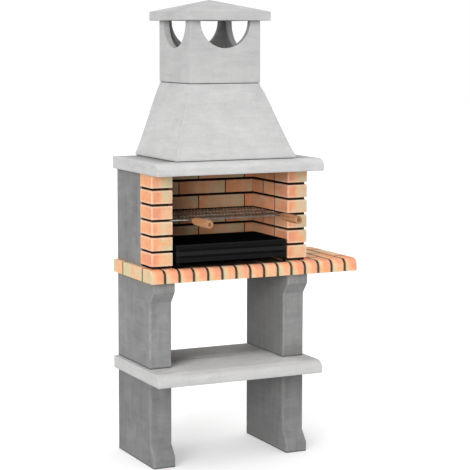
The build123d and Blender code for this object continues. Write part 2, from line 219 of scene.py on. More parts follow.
class FinishSheet:
    """The node tree of one finish, or of the room."""

    def __init__(self, owner: bpy.types.Material | bpy.types.World) -> None:
        """Start with an empty tree.

        Args:
            owner: The material or world whose tree it is.
        """
        self.owner = owner
        self.owner.use_nodes = True
        self.tree = self.owner.node_tree
        self.tree.nodes.clear()
        self.places: dict[Triple, Signal] = {}

    def node(
        self,
        kind: str,
        settings: dict[str, Any] | None = None,
        sockets: dict[int | str, Any] | None = None,
        output: int | str = 0,
    ) -> Signal:
        """Add any node.

        Args:
            kind: The node's type.
            settings: The node's own settings, set first; stops are a colour ramp's.
            sockets: Values or signals of its inputs, by name or number.
            output: The output to hand back, by name or number.

        Returns:
            The chosen output.
        """
        made = self.tree.nodes.new(kind)
        for name, value in (settings or {}).items():
            if name == "stops":
                self._set_stops(made.color_ramp, value)
            else:
                setattr(made, name, value)
        for key, value in (sockets or {}).items():
            socket = made.inputs[key]
            if isinstance(value, Signal):
                self.tree.links.new(value.socket, socket)
            elif isinstance(value, tuple) and len(socket.default_value) > len(value):
                socket.default_value = (*value, 1.0)
            else:
                socket.default_value = value
        return Signal(self, made.outputs[output])

    @staticmethod
    def _set_stops(ramp: bpy.types.ColorRamp, stops: Stops) -> None:
        """Give a colour ramp its stops.

        Args:
            ramp: The ramp.
            stops: Places from 0 to 1 with their colours, in order.
        """
        while len(ramp.elements) < len(stops):
            ramp.elements.new(1.0)
        for element, (place, colour) in zip(ramp.elements, stops):
            element.position = place
            element.color = (*colour, 1.0)

    def place(self, stretch: Triple = (1.0, 1.0, 1.0)) -> Signal:
        """The point of the piece in metres, multiplied along each axis.

        Args:
            stretch: Factors along X, Y and Z.

        Returns:
            The point as a vector.
        """
        if stretch not in self.places:
            sockets = {0: self.node("ShaderNodeTexCoord", output="Object"), 1: stretch}
            self.places[stretch] = self.node(
                "ShaderNodeVectorMath", {"operation": "MULTIPLY"}, sockets
            )
        return self.places[stretch]

    def along(self, axis: str) -> Signal:
        """The point's coordinate along an axis, in metres."""
        return self.node("ShaderNodeSeparateXYZ", None, {0: self.place()}, axis)

    def mark(self, mark: Mark) -> Signal:
        """A mark that the mesh carries on its points."""
        return self.node("ShaderNodeAttribute", {"attribute_name": mark.value}, output="Fac")

    def cloud(self, layer: Layer) -> Signal:
        """Smooth noise.

        Args:
            layer: The layer's size and character.

        Returns:
            The noise, 0 to 1.
        """
        sockets = {
            "Vector": self.place(layer.stretch),
            "Scale": layer.scale,
            "Detail": layer.detail,
            "Distortion": layer.twist,
        }
        value = self.node("ShaderNodeTexNoise", None, sockets, "Fac")
        return value.over(*layer.limits) if layer.limits else value

    def scattered(self, specks: Specks) -> Signal:
        """Scattered round specks.

        Args:
            specks: Their size and spacing.

        Returns:
            1 in a speck's middle, 0 outside.
        """
        sockets = {"Vector": self.place(), "Scale": specks.scale}
        near = self.node("ShaderNodeTexVoronoi", None, sockets, "Distance")
        few = self.cloud(Layer(specks.scale / 3, limits=specks.scatter))
        return (1 - near / specks.size).limited() * few

    def mix(self, first: Any, second: Any, share: Any, blend: str = "MIX") -> Signal:
        """Blend two colours.

        Args:
            first: The colour at share 0.
            second: The colour at share 1.
            share: How much of the second.
            blend: The way of blending.

        Returns:
            The blended colour.
        """
        settings = {"data_type": "RGBA", "blend_type": blend}
        sockets = {0: share, MIX_FIRST: first, MIX_SECOND: second}
        return self.node("ShaderNodeMix", settings, sockets, MIX_OUT)

    def ramp(self, share: Signal, stops: Stops) -> Signal:
        """Read a colour off a ramp."""
        return self.node("ShaderNodeValToRGB", {"stops": stops}, {0: share}, "Color")

    def tone(self, colour: Signal, share: Signal, low: float, high: float) -> Signal:
        """Multiply a colour by a grey between two levels.

        Args:
            colour: The colour.
            share: 0 gives the low level, 1 the high one.
            low: Grey level at share 0.
            high: Grey level at share 1.

        Returns:
            The toned colour.
        """
        grey = self.mix((low,) * 3, (high,) * 3, share)
        return self.mix(colour, grey, 1.0, "MULTIPLY")

    def close(
        self,
        colour: Signal,
        roughness: Signal,
        height: Signal,
        depth: float,
        others: dict[str, Any],
    ) -> bpy.types.Material:
        """End the tree with its shader.

        Args:
            colour: Base colour.
            roughness: Roughness.
            height: Height of the relief, 0 to 1.
            depth: Depth of the relief in metres.
            others: The shader's other inputs.

        Returns:
            The finished material.
        """
        relief = {"Strength": 1.0, "Distance": depth, "Height": height}
        normal = self.node("ShaderNodeBump", None, relief)
        sockets = {"Base Color": colour, "Roughness": roughness, "Normal": normal}
        self.node_out(self.node("ShaderNodeBsdfPrincipled", None, sockets | others))
        return self.owner

    def node_out(self, shader: Signal, kind: str = "ShaderNodeOutputMaterial") -> None:
        """Join a shader to the tree's output."""
        out = self.tree.nodes.new(kind)
        self.tree.links.new(shader.socket, out.inputs["Surface"])


# Finishes


@dataclass(frozen=True)
class Concrete:
    """Cast concrete: clouded and streaked, with sand grain, few pores and a worn colour on the
    arrises, paler wear on the grey and a painted shade on the light.
    """

    name: str
    deep: Colour
    pale: Colour
    worn: Colour
    contrast: float
    wear: float
    lying: float = 0.18
    standing: float = 0.22
    # The colour of smoke-blackening, and of the painted shade that the same mark carries.
    smoked: Colour = shown(76, 62, 52)
    clouds: Layer = Layer(4.5, 6.0, 0.6)
    blotches: Layer = Layer(15.0, 5.0, 0.3)
    brushed: Layer = Layer(detail=4.0, twist=0.5, stretch=(9.0, 9.0, 48.0))
    upright: Layer = Layer(detail=4.0, twist=0.5, stretch=(48.0, 48.0, 4.0))
    grit: Layer = Layer(150.0, 3.0)
    sand: Layer = Layer(520.0, 2.0)
    nibbled: Layer = Layer(28.0, 3.0, limits=(0.3, 0.62))
    pores: Specks = Specks(95.0, 0.16)
    relief: float = 0.0006
    gloss: float = 0.25

    def make(self) -> bpy.types.Material:
        """Build the material.

        Returns:
            The material.
        """
        sheet = FinishSheet(bpy.data.materials.new(self.name))
        clouds = sheet.cloud(self.clouds)
        blotches = sheet.cloud(self.blotches)
        brushed = sheet.cloud(self.brushed)
        sand = sheet.cloud(self.sand)
        pores = sheet.scattered(self.pores)
        share = clouds * 0.36 + blotches * 0.24 + brushed * self.lying
        share = share + sheet.cloud(self.upright) * self.standing
        share = ((share - 0.5) * self.contrast + 0.5).limited()
        colour = sheet.mix(self.deep, self.pale, share)
        arris = sheet.mark(Mark.ARRIS) * sheet.cloud(self.nibbled)
        colour = sheet.mix(colour, self.worn, arris * self.wear)
        colour = sheet.tone(colour, sheet.cloud(self.grit), 0.87, 1.13)
        colour = sheet.tone(colour, sand, 0.94, 1.05)
        colour = sheet.tone(colour, pores, 1.0, 0.72)
        # Soot and painted shade darken toward the smoked colour.
        soot = sheet.mark(Mark.SOOT_AND_SHADE) * (0.3 + 0.9 * clouds + 0.5 * blotches)
        colour = sheet.mix(colour, self.smoked, soot.limited())
        height = sand * 0.16 + blotches * 0.5 + brushed * 0.22 - pores * 0.7
        others = {"Specular IOR Level": self.gloss}
        return sheet.close(colour, 0.84 + 0.12 * sand, height, self.relief, others)

    def batch(self, name: str, share: float) -> bpy.types.Material:
        """Build the material of another batch, lighter or darker; the feet and the shelf use it for
        painted shade and light.

        Args:
            name: What the batch was cast for.
            share: Its brightness as a share of this one's.

        Returns:
            The material.
        """
        shades = {"deep": self.deep, "pale": self.pale, "worn": self.worn}
        toned = {part: tuple(value * share for value in shades[part]) for part in shades}
        return replace(self, name=f"{name}_{self.name}", **toned).make()


@dataclass(frozen=True)
class Firebrick:
    """Pressed firebrick, flamed from salmon to straw, with pale arrises and a fine grain."""

    name: str = "flamed_firebrick"
    pink: Colour = shown(237, 159, 125)
    orange: Colour = shown(251, 170, 106)
    salmon: Colour = shown(246, 174, 130)
    peach: Colour = shown(244, 190, 149)
    sand: Colour = shown(227, 202, 164)
    straw: Colour = shown(212, 204, 163)
    worn: Colour = shown(254, 232, 204)
    speck: Colour = shown(150, 84, 52)
    # The colour of smoke-blackening, and of the painted shade that the same mark carries.
    smoked: Colour = shown(30, 21, 16)
    flame: Layer = Layer(11.0, 3.0, 0.8)
    patches: Layer = Layer(34.0, 4.0, 0.4)
    stripes: Layer = Layer(detail=2.0, twist=0.3, stretch=(60.0, 60.0, 8.0))
    blush: Layer = Layer(19.0, 2.0, limits=(0.56, 0.72))
    scorched: Layer = Layer(30.0, 3.0, 0.6, limits=(0.54, 0.68))
    ragged: Layer = Layer(46.0, 3.0, limits=(0.15, 0.5))
    grain: Layer = Layer(640.0, 2.0)
    crumbs: Specks = Specks(130.0, 0.2)
    relief: float = 0.0005
    gloss: float = 0.3

    def make(self) -> bpy.types.Material:
        """Build the material.

        Returns:
            The material.
        """
        sheet = FinishSheet(bpy.data.materials.new(self.name))
        flame = sheet.cloud(self.flame)
        patches = sheet.cloud(self.patches)
        grain = sheet.cloud(self.grain)
        crumbs = sheet.scattered(self.crumbs)
        firing = sheet.mark(Mark.FIRING) + (flame - 0.5) * 0.8 + (patches - 0.5) * 0.8
        firing = firing + (sheet.cloud(self.stripes) - 0.5) * 0.4
        stops = [
            (0.0, self.pink),
            (0.24, self.salmon),
            (0.48, self.peach),
            (0.72, self.sand),
            (1.0, self.straw),
        ]
        colour = sheet.ramp(firing.limited(), stops)
        colour = sheet.mix(colour, self.pink, sheet.cloud(self.blush) * 0.4)
        colour = sheet.mix(colour, self.orange, sheet.cloud(self.scorched) * 0.6)
        arris = sheet.mark(Mark.ARRIS) * sheet.cloud(self.ragged)
        colour = sheet.mix(colour, self.worn, arris * 0.65)
        colour = sheet.tone(colour, grain, 0.92, 1.05)
        colour = sheet.mix(colour, self.speck, crumbs * 0.6)
        # Soot and painted shade darken toward the smoked colour.
        soot = sheet.mark(Mark.SOOT_AND_SHADE) * (0.5 + flame)
        colour = sheet.mix(colour, self.smoked, soot.limited())
        height = grain * 0.3 + patches * 0.5 - crumbs * 0.5
        others = {"Specular IOR Level": self.gloss}
        return sheet.close(colour, 0.78 + 0.16 * grain, height, self.relief, others)


@dataclass(frozen=True)
class Mortar:
    """Trowelled mortar: dark, sandy and rough."""

    name: str
    deep: Colour
    pale: Colour
    sand: Colour
    # The colour of smoke-blackening, and of the painted shade in the joints that the same mark
    # carries.
    smoked: Colour = shown(8, 5, 4)
    damp: Layer = Layer(22.0, 4.0, 0.4)
    grit: Layer = Layer(310.0, 3.0)
    relief: float = 0.0012
    gloss: float = 0.2

    def make(self) -> bpy.types.Material:
        """Build the material.

        Returns:
            The material.
        """
        sheet = FinishSheet(bpy.data.materials.new(self.name))
        damp = sheet.cloud(self.damp)
        grit = sheet.cloud(self.grit)
        colour = sheet.mix(self.deep, self.pale, damp.over(0.3, 0.7))
        colour = sheet.mix(colour, self.sand, grit.over(0.6, 0.74) * 0.35)
        # Soot and painted shade in the joints darken toward the smoked colour.
        colour = sheet.mix(colour, self.smoked, sheet.mark(Mark.SOOT_AND_SHADE))
        height = grit * 0.6 + damp * 0.4
        others = {"Specular IOR Level": self.gloss}
        return sheet.close(colour, 0.86 + 0.1 * grit, height, self.relief, others)


@dataclass(frozen=True)
class SheetSteel:
    """Black stove enamel on folded sheet steel; on its front, painted shade in the beads, painted
    light on the band between them and a painted highlight at the hem.

    From a place along Y on it is blackened, by burning and painted shade; low and height are the
    level and height of its front.
    """

    burnt_and_shaded_from: float
    low: float
    height: float
    name: str = "black_stove_enamel"
    lower: Colour = shown(11, 11, 14)
    # Painted shade in the two pressed beads.
    groove_shade: Colour = shown(5, 5, 6)
    # Painted light on the band between the beads.
    lit_middle_band: Colour = shown(27, 27, 27)
    upper: Colour = shown(7, 7, 7)
    # A painted highlight on the rolled hem at the rim.
    rim: Colour = shown(22, 22, 22)
    # Enamel blackened by burning, and painted shade, inside the pan and on its feet.
    burnt_and_shaded: Colour = shown(1, 1, 1)
    scuffed: Colour = shown(30, 30, 31)
    scuffs: Layer = Layer(18.0, 5.0, 0.6, limits=(0.55, 0.8))
    scratches: Layer = Layer(detail=3.0, stretch=(30.0, 260.0, 900.0), limits=(0.62, 0.75))
    peel: Layer = Layer(420.0, 2.0)
    burnt_and_shaded_edge: float = 0.004
    relief: float = 0.00012
    gloss: float = 0.1

    def make(self) -> bpy.types.Material:
        """Build the material.

        Returns:
            The material.
        """
        sheet = FinishSheet(bpy.data.materials.new(self.name))
        scuffs = sheet.cloud(self.scuffs)
        peel = sheet.cloud(self.peel)
        scratches = sheet.cloud(self.scratches)
        # Tones by height: painted shade in the beads, painted light on the band between them, a
        # painted highlight at the hem.
        stops = [
            (0.25, self.lower),
            (0.28, self.groove_shade),
            (0.37, self.groove_shade),
            (0.4, self.lit_middle_band),
            (0.61, self.lit_middle_band),
            (0.64, self.groove_shade),
            (0.72, self.upper),
            (0.92, self.upper),
            (0.95, self.rim),
        ]
        colour = sheet.ramp((sheet.along("Z") - self.low) / self.height, stops)
        colour = sheet.mix(colour, self.scuffed, scuffs * 0.25 + scratches * 0.2)
        burnt_and_shaded = sheet.along("Y").over(self.burnt_and_shaded_from, self.burnt_and_shaded_from + self.burnt_and_shaded_edge)
        colour = sheet.mix(colour, self.burnt_and_shaded, burnt_and_shaded * 0.9)
        roughness = 0.44 + 0.14 * scuffs + 0.06 * peel + 0.45 * burnt_and_shaded
        height = peel * 0.8 - scratches * 0.2
        others = {"Specular IOR Level": self.gloss}
        return sheet.close(colour, roughness, height, self.relief, others)


@dataclass(frozen=True)
class ZincWire:
    """Bright zinc on drawn wire, spangled and dulled.

    It is browned before a place along Y and takes a painted shade after one along X; as first set,
    neither is reached. At its crossings, places along Y, it carries painted highlights.
    """

    name: str = "zinc_plated_wire"
    bright: Colour = shown(206, 206, 204)
    dull: Colour = shown(140, 138, 134)
    smooth: float = 0.26
    dulling: Layer = Layer(42.0, 4.0, 0.4, limits=(0.4, 0.64))
    drawing: Layer = Layer(detail=3.0, stretch=(900.0, 60.0, 900.0))
    browned: Colour = shown(146, 108, 84)
    browned_before: float = -1.0
    browned_edge: float = 0.001
    # A painted highlight at each crossing.
    crossing_glint: Colour = shown(252, 244, 236)
    crossings: tuple[float, ...] = ()
    crossing_reach: float = 0.011
    # A painted shade past a place along X.
    rod_shade: float = 0.5
    rod_shade_after: float = 9.0
    rod_shade_edge: float = 0.02
    relief: float = 0.00006

    def make(self) -> bpy.types.Material:
        """Build the material.

        Returns:
            The material.
        """
        sheet = FinishSheet(bpy.data.materials.new(self.name))
        dulled = sheet.cloud(self.dulling)
        drawn = sheet.cloud(self.drawing)
        depth = sheet.along("Y")
        colour = sheet.mix(self.bright, self.dull, dulled * 0.8)
        browned = 1 - depth.over(self.browned_before, self.browned_before + self.browned_edge)
        colour = sheet.mix(colour, self.browned, browned)
        # Past a place along X the wire takes a painted shade.
        rod_shade = sheet.along("X").over(self.rod_shade_after, self.rod_shade_after + self.rod_shade_edge)
        colour = sheet.tone(colour, rod_shade, 1.0, self.rod_shade)
        metallic: Signal | float = 1.0
        # Painted highlights at the crossings: near white, and not metallic.
        for crossing in self.crossings:
            off = (depth - crossing) / self.crossing_reach
            crossing_glint = (1 - off * off).limited()
            colour = sheet.mix(colour, self.crossing_glint, crossing_glint)
            metallic = metallic - 0.9 * crossing_glint
        roughness = self.smooth + 0.2 * dulled + 0.08 * drawn
        return sheet.close(colour, roughness, drawn, self.relief, {"Metallic": metallic})


@dataclass(frozen=True)
class TurnedWood:
    """Turned, oiled wood with its grain along the handle."""

    name: str = "turned_oiled_wood"
    early: Colour = shown(188, 140, 102)
    late: Colour = shown(150, 98, 62)
    pore: Colour = shown(112, 64, 36)
    bands: Layer = Layer(detail=3.0, twist=1.1, stretch=(95.0, 7.0, 60.0), limits=(0.35, 0.68))
    fibre: Layer = Layer(detail=3.0, stretch=(620.0, 26.0, 620.0))
    lathe: Layer = Layer(detail=1.0, stretch=(30.0, 1500.0, 30.0))
    relief: float = 0.0003
    gloss: float = 0.4

    def make(self) -> bpy.types.Material:
        """Build the material.

        Returns:
            The material.
        """
        sheet = FinishSheet(bpy.data.materials.new(self.name))
        fibre = sheet.cloud(self.fibre)
        colour = sheet.mix(self.early, self.late, sheet.cloud(self.bands))
        colour = sheet.mix(colour, self.pore, fibre.over(0.58, 0.76) * 0.5)
        height = fibre * 0.6 + sheet.cloud(self.lathe) * 0.4
        others = {"Specular IOR Level": self.gloss}
        return sheet.close(colour, 0.46 + 0.2 * fibre, height, self.relief, others)


@dataclass(frozen=True)
class StudioFloor:
    """Plain pale floor."""

    name: str = "studio_floor"
    pale: Colour = (0.93, 0.93, 0.93)
    glow: float = 0.23
    roughness: float = 0.9

    def make(self) -> bpy.types.Material:
        """Build the material.

        Returns:
            The material.
        """
        sheet = FinishSheet(bpy.data.materials.new(self.name))
        plain = {"Base Color": self.pale, "Roughness": self.roughness, "Specular IOR Level": 0.0}
        plain |= {"Emission Color": self.pale, "Emission Strength": self.glow}
        sheet.node_out(sheet.node("ShaderNodeBsdfPrincipled", None, plain))
        return sheet.owner


class Finishes:
    """Every finish of the object, made once."""

    pan_front = 0.004
    shank_tip = 0.004
    far = 1.0

    def __init__(self, nodes: dict[str, bpy.types.Object]) -> None:
        """Make all the materials.

        Args:
            nodes: The CAD nodes' objects by name.
        """
        grey = Concrete(
            "grey_cast_concrete",
            deep=shown(114, 114, 115),
            pale=shown(160, 160, 159),
            worn=shown(174, 174, 173),
            contrast=2.4,
            wear=0.3,
            smoked=shown(62, 61, 58),
        )
        self.grey = grey.make()
        self.panel = grey.batch("panel", 0.88)
        # The feet's batch is darker: a painted shade low down by the floor.
        self.foot = grey.batch("foot", 0.81)
        light = Concrete(
            "light_cast_concrete",
            deep=shown(184, 184, 184),
            pale=shown(211, 211, 210),
            # Darker than pale: a painted shade on the arrises, against the highlight that the
            # rounded corners catch.
            worn=shown(182, 182, 181),
            contrast=2.6,
            wear=0.36,
            lying=0.34,
            standing=0.06,
            smoked=shown(72, 63, 57),
        )
        self.light = light.make()
        self.hood = light.batch("hood", 0.94)
        self.flue = light.batch("flue", 0.9)
        # Brighter than the mantel: a painted light on the shelf's top; its other faces take it back
        # as painted shade.
        self.shelf = light.batch("shelf", 1.2)
        self.brick = Firebrick().make()
        self.dark_mortar = Mortar(
            "dark_mortar", shown(66, 49, 37), shown(94, 73, 57), shown(118, 96, 78)
        ).make()
        self.grey_mortar = Mortar(
            "grey_mortar", shown(100, 100, 100), shown(130, 130, 130), shown(150, 150, 150)
        ).make()
        self.brown_mortar = Mortar(
            "brown_mortar", shown(54, 28, 18), shown(84, 50, 32), shown(112, 76, 54)
        ).make()
        tray = node_box("fire_pan_tray")
        enamel = SheetSteel(tray.low.y + self.pan_front, tray.low.z, tray.high.z - tray.low.z)
        self.enamel = enamel.make()
        # The feet are all near black: a painted shade under the pan.
        self.shaded_enamel = replace(
            enamel, burnt_and_shaded_from=tray.low.y - self.far, name="shaded_stove_enamel"
        ).make()
        tips = node_box("handle_shanks").low.y + self.shank_tip
        self.zinc = ZincWire(browned_before=tips).make()
        # The frame rod takes a painted shade from the left handle's middle on.
        self.dull = ZincWire(
            "dull_zinc_wire",
            bright=shown(206, 202, 198),
            dull=shown(132, 128, 124),
            smooth=0.32,
            rod_shade_after=node_box("left_handle").middle.x,
        ).make()
        smoked = ZincWire(
            "smoked_wire", bright=shown(206, 190, 176), dull=shown(118, 102, 90), smooth=0.28
        )
        self.smoked = smoked.make()
        rods = [box.middle.y for box in solid_boxes(nodes["grate_cross_rods"])]
        rods.append(node_box("grate_frame").high.y)
        self.crossed = replace(smoked, name="crossed_wire", crossings=tuple(rods)).make()
        self.heads = ZincWire(
            "browned_heads", bright=shown(158, 118, 92), dull=shown(116, 84, 64), smooth=0.45
        ).make()
        self.wood = TurnedWood().make()


# Places


@dataclass(frozen=True)
class Box:
    """Lowest and highest corner of something."""

    low: Vector
    high: Vector

    @property
    def middle(self) -> Vector:
        """Centre of the box."""
        return (self.low + self.high) / 2


def node_box(node: str) -> Box:
    """Box of a CAD node at rest."""
    return Box(*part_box(node))


def solid_boxes(node: bpy.types.Object) -> list[Box]:
    """Box of each separate solid in a CAD node, in a fixed order.

    Args:
        node: The CAD node's object.

    Returns:
        The boxes, sorted by their lowest corners.
    """
    work = bmesh.new()
    work.from_mesh(node.data)
    bmesh.ops.remove_doubles(work, verts=work.verts[:], dist=1e-6)
    boxes = []
    left = set(work.verts)
    while left:
        todo = [left.pop()]
        found = list(todo)
        while todo:
            for edge in todo.pop().link_edges:
                for vert in edge.verts:
                    if vert in left:
                        left.remove(vert)
                        todo.append(vert)
                        found.append(vert)
        spans = [[vert.co[axis] for vert in found] for axis in range(3)]
        boxes.append(Box(Vector(map(min, spans)), Vector(map(max, spans))))
    work.free()
    return sorted(boxes, key=lambda box: tuple(round(value, 5) for value in box.low))


def even(soot: float) -> ByPlace:
    """Soot and painted shade, the same all over."""
    return lambda place: soot


def summed(*parts: ByPlace) -> ByPlace:
    """Soot and painted shade that several causes add up to, never less than none."""
    return lambda place: max(0.0, sum(part(place) for part in parts))


def fading(axis: int, start: float, end: float, first: float, last: float) -> ByPlace:
    """Soot and painted shade that change evenly along an axis.

    Args:
        axis: The axis.
        start: Where it begins to change.
        end: Where it has changed.
        first: Soot and painted shade at the start.
        last: Soot and painted shade at the end.

    Returns:
        A function of the place.
    """

    def soot(place: Vector) -> float:
        """Soot and painted shade at one place."""
        return first + (last - first) * clamped((place[axis] - start) / (end - start))

    return soot


# Meshes


@dataclass(frozen=True)
class Skin:
    """How a block's surface differs from a perfect one.

    The arris is the radius of its worn edges and the cell the width of its grid. Unevenness is the
    depth of its hollows and pitch their features in a metre. Chipping makes the arrises bite deeper
    here and there. The arrises are paled over a band, and rim sets one more grid line inside them.
    Grime is the soot at a dirty joint, over its first grid lines.
    """

    arris: float
    cell: float
    unevenness: float
    pitch: float
    chipping: float = 0.0
    band: float = 0.007
    paled: float = 1.0
    rim: float = 0.0
    grime: float = 0.85
    grime_lines: int = 3
    chip_pitch: float = 38.0
    chip_least: float = 0.15
    arris_line: float = 0.35


@dataclass(frozen=True)
class Wear:
    """How a casting is worn.

    Depth is that of its unevenness and pitch its features in a metre; chip is the depth of its
    chips, and chip_pitch and chip_least say how many there are.
    """

    depth: float
    pitch: float
    chip: float = 0.0
    chip_pitch: float = 34.0
    chip_least: float = 0.28


@dataclass(frozen=True)
class Flame:
    """How the firing of a wall's bricks varies, from salmon at 0 to straw at 1.

    A brick starts between low and high, changes by its slope along the three axes, and turns to
    another firing at a share of its width, over another share. The spreads vary it by the brick.
    """

    low: float
    high: float
    slope: Triple
    turn: float = 0.0
    turn_at: float = 0.4
    turn_width: float = 0.3
    slope_spread: Span = (0.7, 1.3)
    turn_spread: Span = (0.7, 1.25)
    turn_shift: float = 0.08

    def brick(self, chance: random.Random) -> ByPlace:
        """Draw the firing of one brick.

        Args:
            chance: Draws it.

        Returns:
            A function of the share along the brick's three axes.
        """
        base = chance.uniform(self.low, self.high)
        way = Vector(self.slope) * chance.uniform(*self.slope_spread)
        turn = self.turn * chance.uniform(*self.turn_spread)
        shift = chance.uniform(-self.turn_shift, self.turn_shift)
        start = self.turn_at + shift - self.turn_width / 2
        centre = Vector((0.5, 0.5, 0.5))

        def firing(share: Vector) -> float:
            """Firing at one place."""
            turned = clamped((share.x - start) / self.turn_width)
            return base + way.dot(share - centre) + turn * turned

        return firing


@dataclass(frozen=True)
class Ring:
    """One level of a casting: a rectangle with rounded corners."""

    left: float
    right: float
    front: float
    back: float
    level: float
    front_corner: float
    back_corner: float
    worn: bool = False
    soot: float = 0.0
    least_corner: float = 0.0003

    def inset(self, by: float, level: float, worn: bool) -> "Ring":
        """The same ring drawn in by a distance, at another level.

        Args:
            by: How far each side moves in; negative moves it out.
            level: The new level.
            worn: Whether it lies on an arris.

        Returns:
            The new ring.
        """
        return replace(
            self,
            left=self.left + by,
            right=self.right - by,
            front=self.front + by,
            back=self.back - by,
            level=level,
            front_corner=max(self.front_corner - by, self.least_corner),
            back_corner=max(self.back_corner - by, self.least_corner),
            worn=worn,
        )

    def points(self, along_x: Columns, along_y: Columns, steps: int) -> list[tuple[Vector, bool]]:
        """Points round the ring, each with whether it lies on an upright arris.

        Args:
            along_x: Places the points of the front and back.
            along_y: Places the points of the two sides.
            steps: Segments in each corner.

        Returns:
            The points, anticlockwise from the left front corner.
        """
        corners = (
            (self.left, self.front, 1, 1, self.front_corner),
            (self.right, self.front, -1, 1, self.front_corner),
            (self.right, self.back, -1, -1, self.back_corner),
            (self.left, self.back, 1, -1, self.back_corner),
        )
        found = []
        for index, (x, y, into_x, into_y, reach) in enumerate(corners):
            for step in range(steps + 1):
                angle = math.radians(180 + 90 * index + 90 * step / steps)
                turned_x = x + into_x * reach + reach * math.cos(angle)
                turned_y = y + into_y * reach + reach * math.sin(angle)
                found.append((Vector((turned_x, turned_y, self.level)), True))
            next_x, next_y, next_into_x, next_into_y, next_reach = corners[(index + 1) % 4]
            if index % 2 == 0:
                places = along_x(x + into_x * reach, next_x + next_into_x * next_reach)
                found += [(Vector((place, y, self.level)), False) for place in places]
            else:
                places = along_y(y + into_y * reach, next_y + next_into_y * next_reach)
                found += [(Vector((x, place, self.level)), False) for place in places]
        return found


def even_columns(count: int, band: float) -> Columns:
    """Places along a side: one close to each end, the others evenly between.

    Args:
        count: Gaps between the two outermost places.
        band: Distance of the outermost places from the ends.

    Returns:
        A function of the side's two ends.
    """

    def places(start: float, end: float) -> list[float]:
        """Places between two ends.

        Args:
            start: The side's first end.
            end: Its other end.

        Returns:
            The places, in order.
        """
        way = math.copysign(band, end - start)
        first, last = start + way, end - way
        return [first + (last - first) * step / count for step in range(count + 1)]

    return places


def rounded_end(end: Ring, arris: float, band: float, up: int, inward: int = 1) -> list[Ring]:
    """Round off one end of a stack of rings.

    Args:
        end: The stack's end ring.
        arris: Radius of the end's arris.
        band: Width of the worn band.
        up: 1 at the stack's foot, -1 at its head.
        inward: 1 for an outer face, -1 for the inner face of a wall.

    Returns:
        The rings, from the end to one a band beyond the arris.
    """
    corner = arris * (1 - math.sqrt(0.5))
    steps = (
        (arris + band, 0.0, False),
        (arris, 0.0, True),
        (corner, corner, True),
        (0.0, arris, True),
        (0.0, arris + band, False),
    )
    return [end.inset(inward * by, end.level + up * off, worn) for by, off, worn in steps]


def stacked(rings: Sequence[Ring], arris: float, band: float, inward: int = 1) -> list[Ring]:
    """Round off both ends of a stack of rings.

    Args:
        rings: The stack, from the lowest ring to the highest.
        arris: Radius of the end arrises.
        band: Width of the worn band.
        inward: 1 for an outer face, -1 for the inner face of a wall.

    Returns:
        The whole stack.
    """
    foot = rounded_end(rings[0], arris, band, 1, inward)
    head = rounded_end(rings[-1], arris, band, -1, inward)
    low, high = foot[-1].level + band / 2, head[-1].level - band / 2
    return foot + [ring for ring in rings[1:-1] if low < ring.level < high] + head[::-1]


def sooted_and_shaded(rings: Sequence[Ring], soot: float) -> list[Ring]:
    """The same rings, blackened by smoke and darkened by painted shade."""
    return [replace(ring, soot=soot) for ring in rings]


def nose_bend(front: float, top: float, radius: float) -> Bend:
    """Bend the square front top edge of a block into a quarter round.

    Args:
        front: Y of the front face.
        top: Level of the top face.
        radius: Radius of the round.

    Returns:
        The bend.
    """

    def bend(point: Vector) -> Vector:
        """Move one point.

        Args:
            point: Where it is.

        Returns:
            Where it goes.
        """
        forward = front + radius - point.y
        upward = point.z - (top - radius)
        if forward <= 0 or upward <= 0:
            return point
        share = max(forward, upward) / math.hypot(forward, upward)
        return Vector((point.x, front + radius - forward * share, top - radius + upward * share))

    return bend


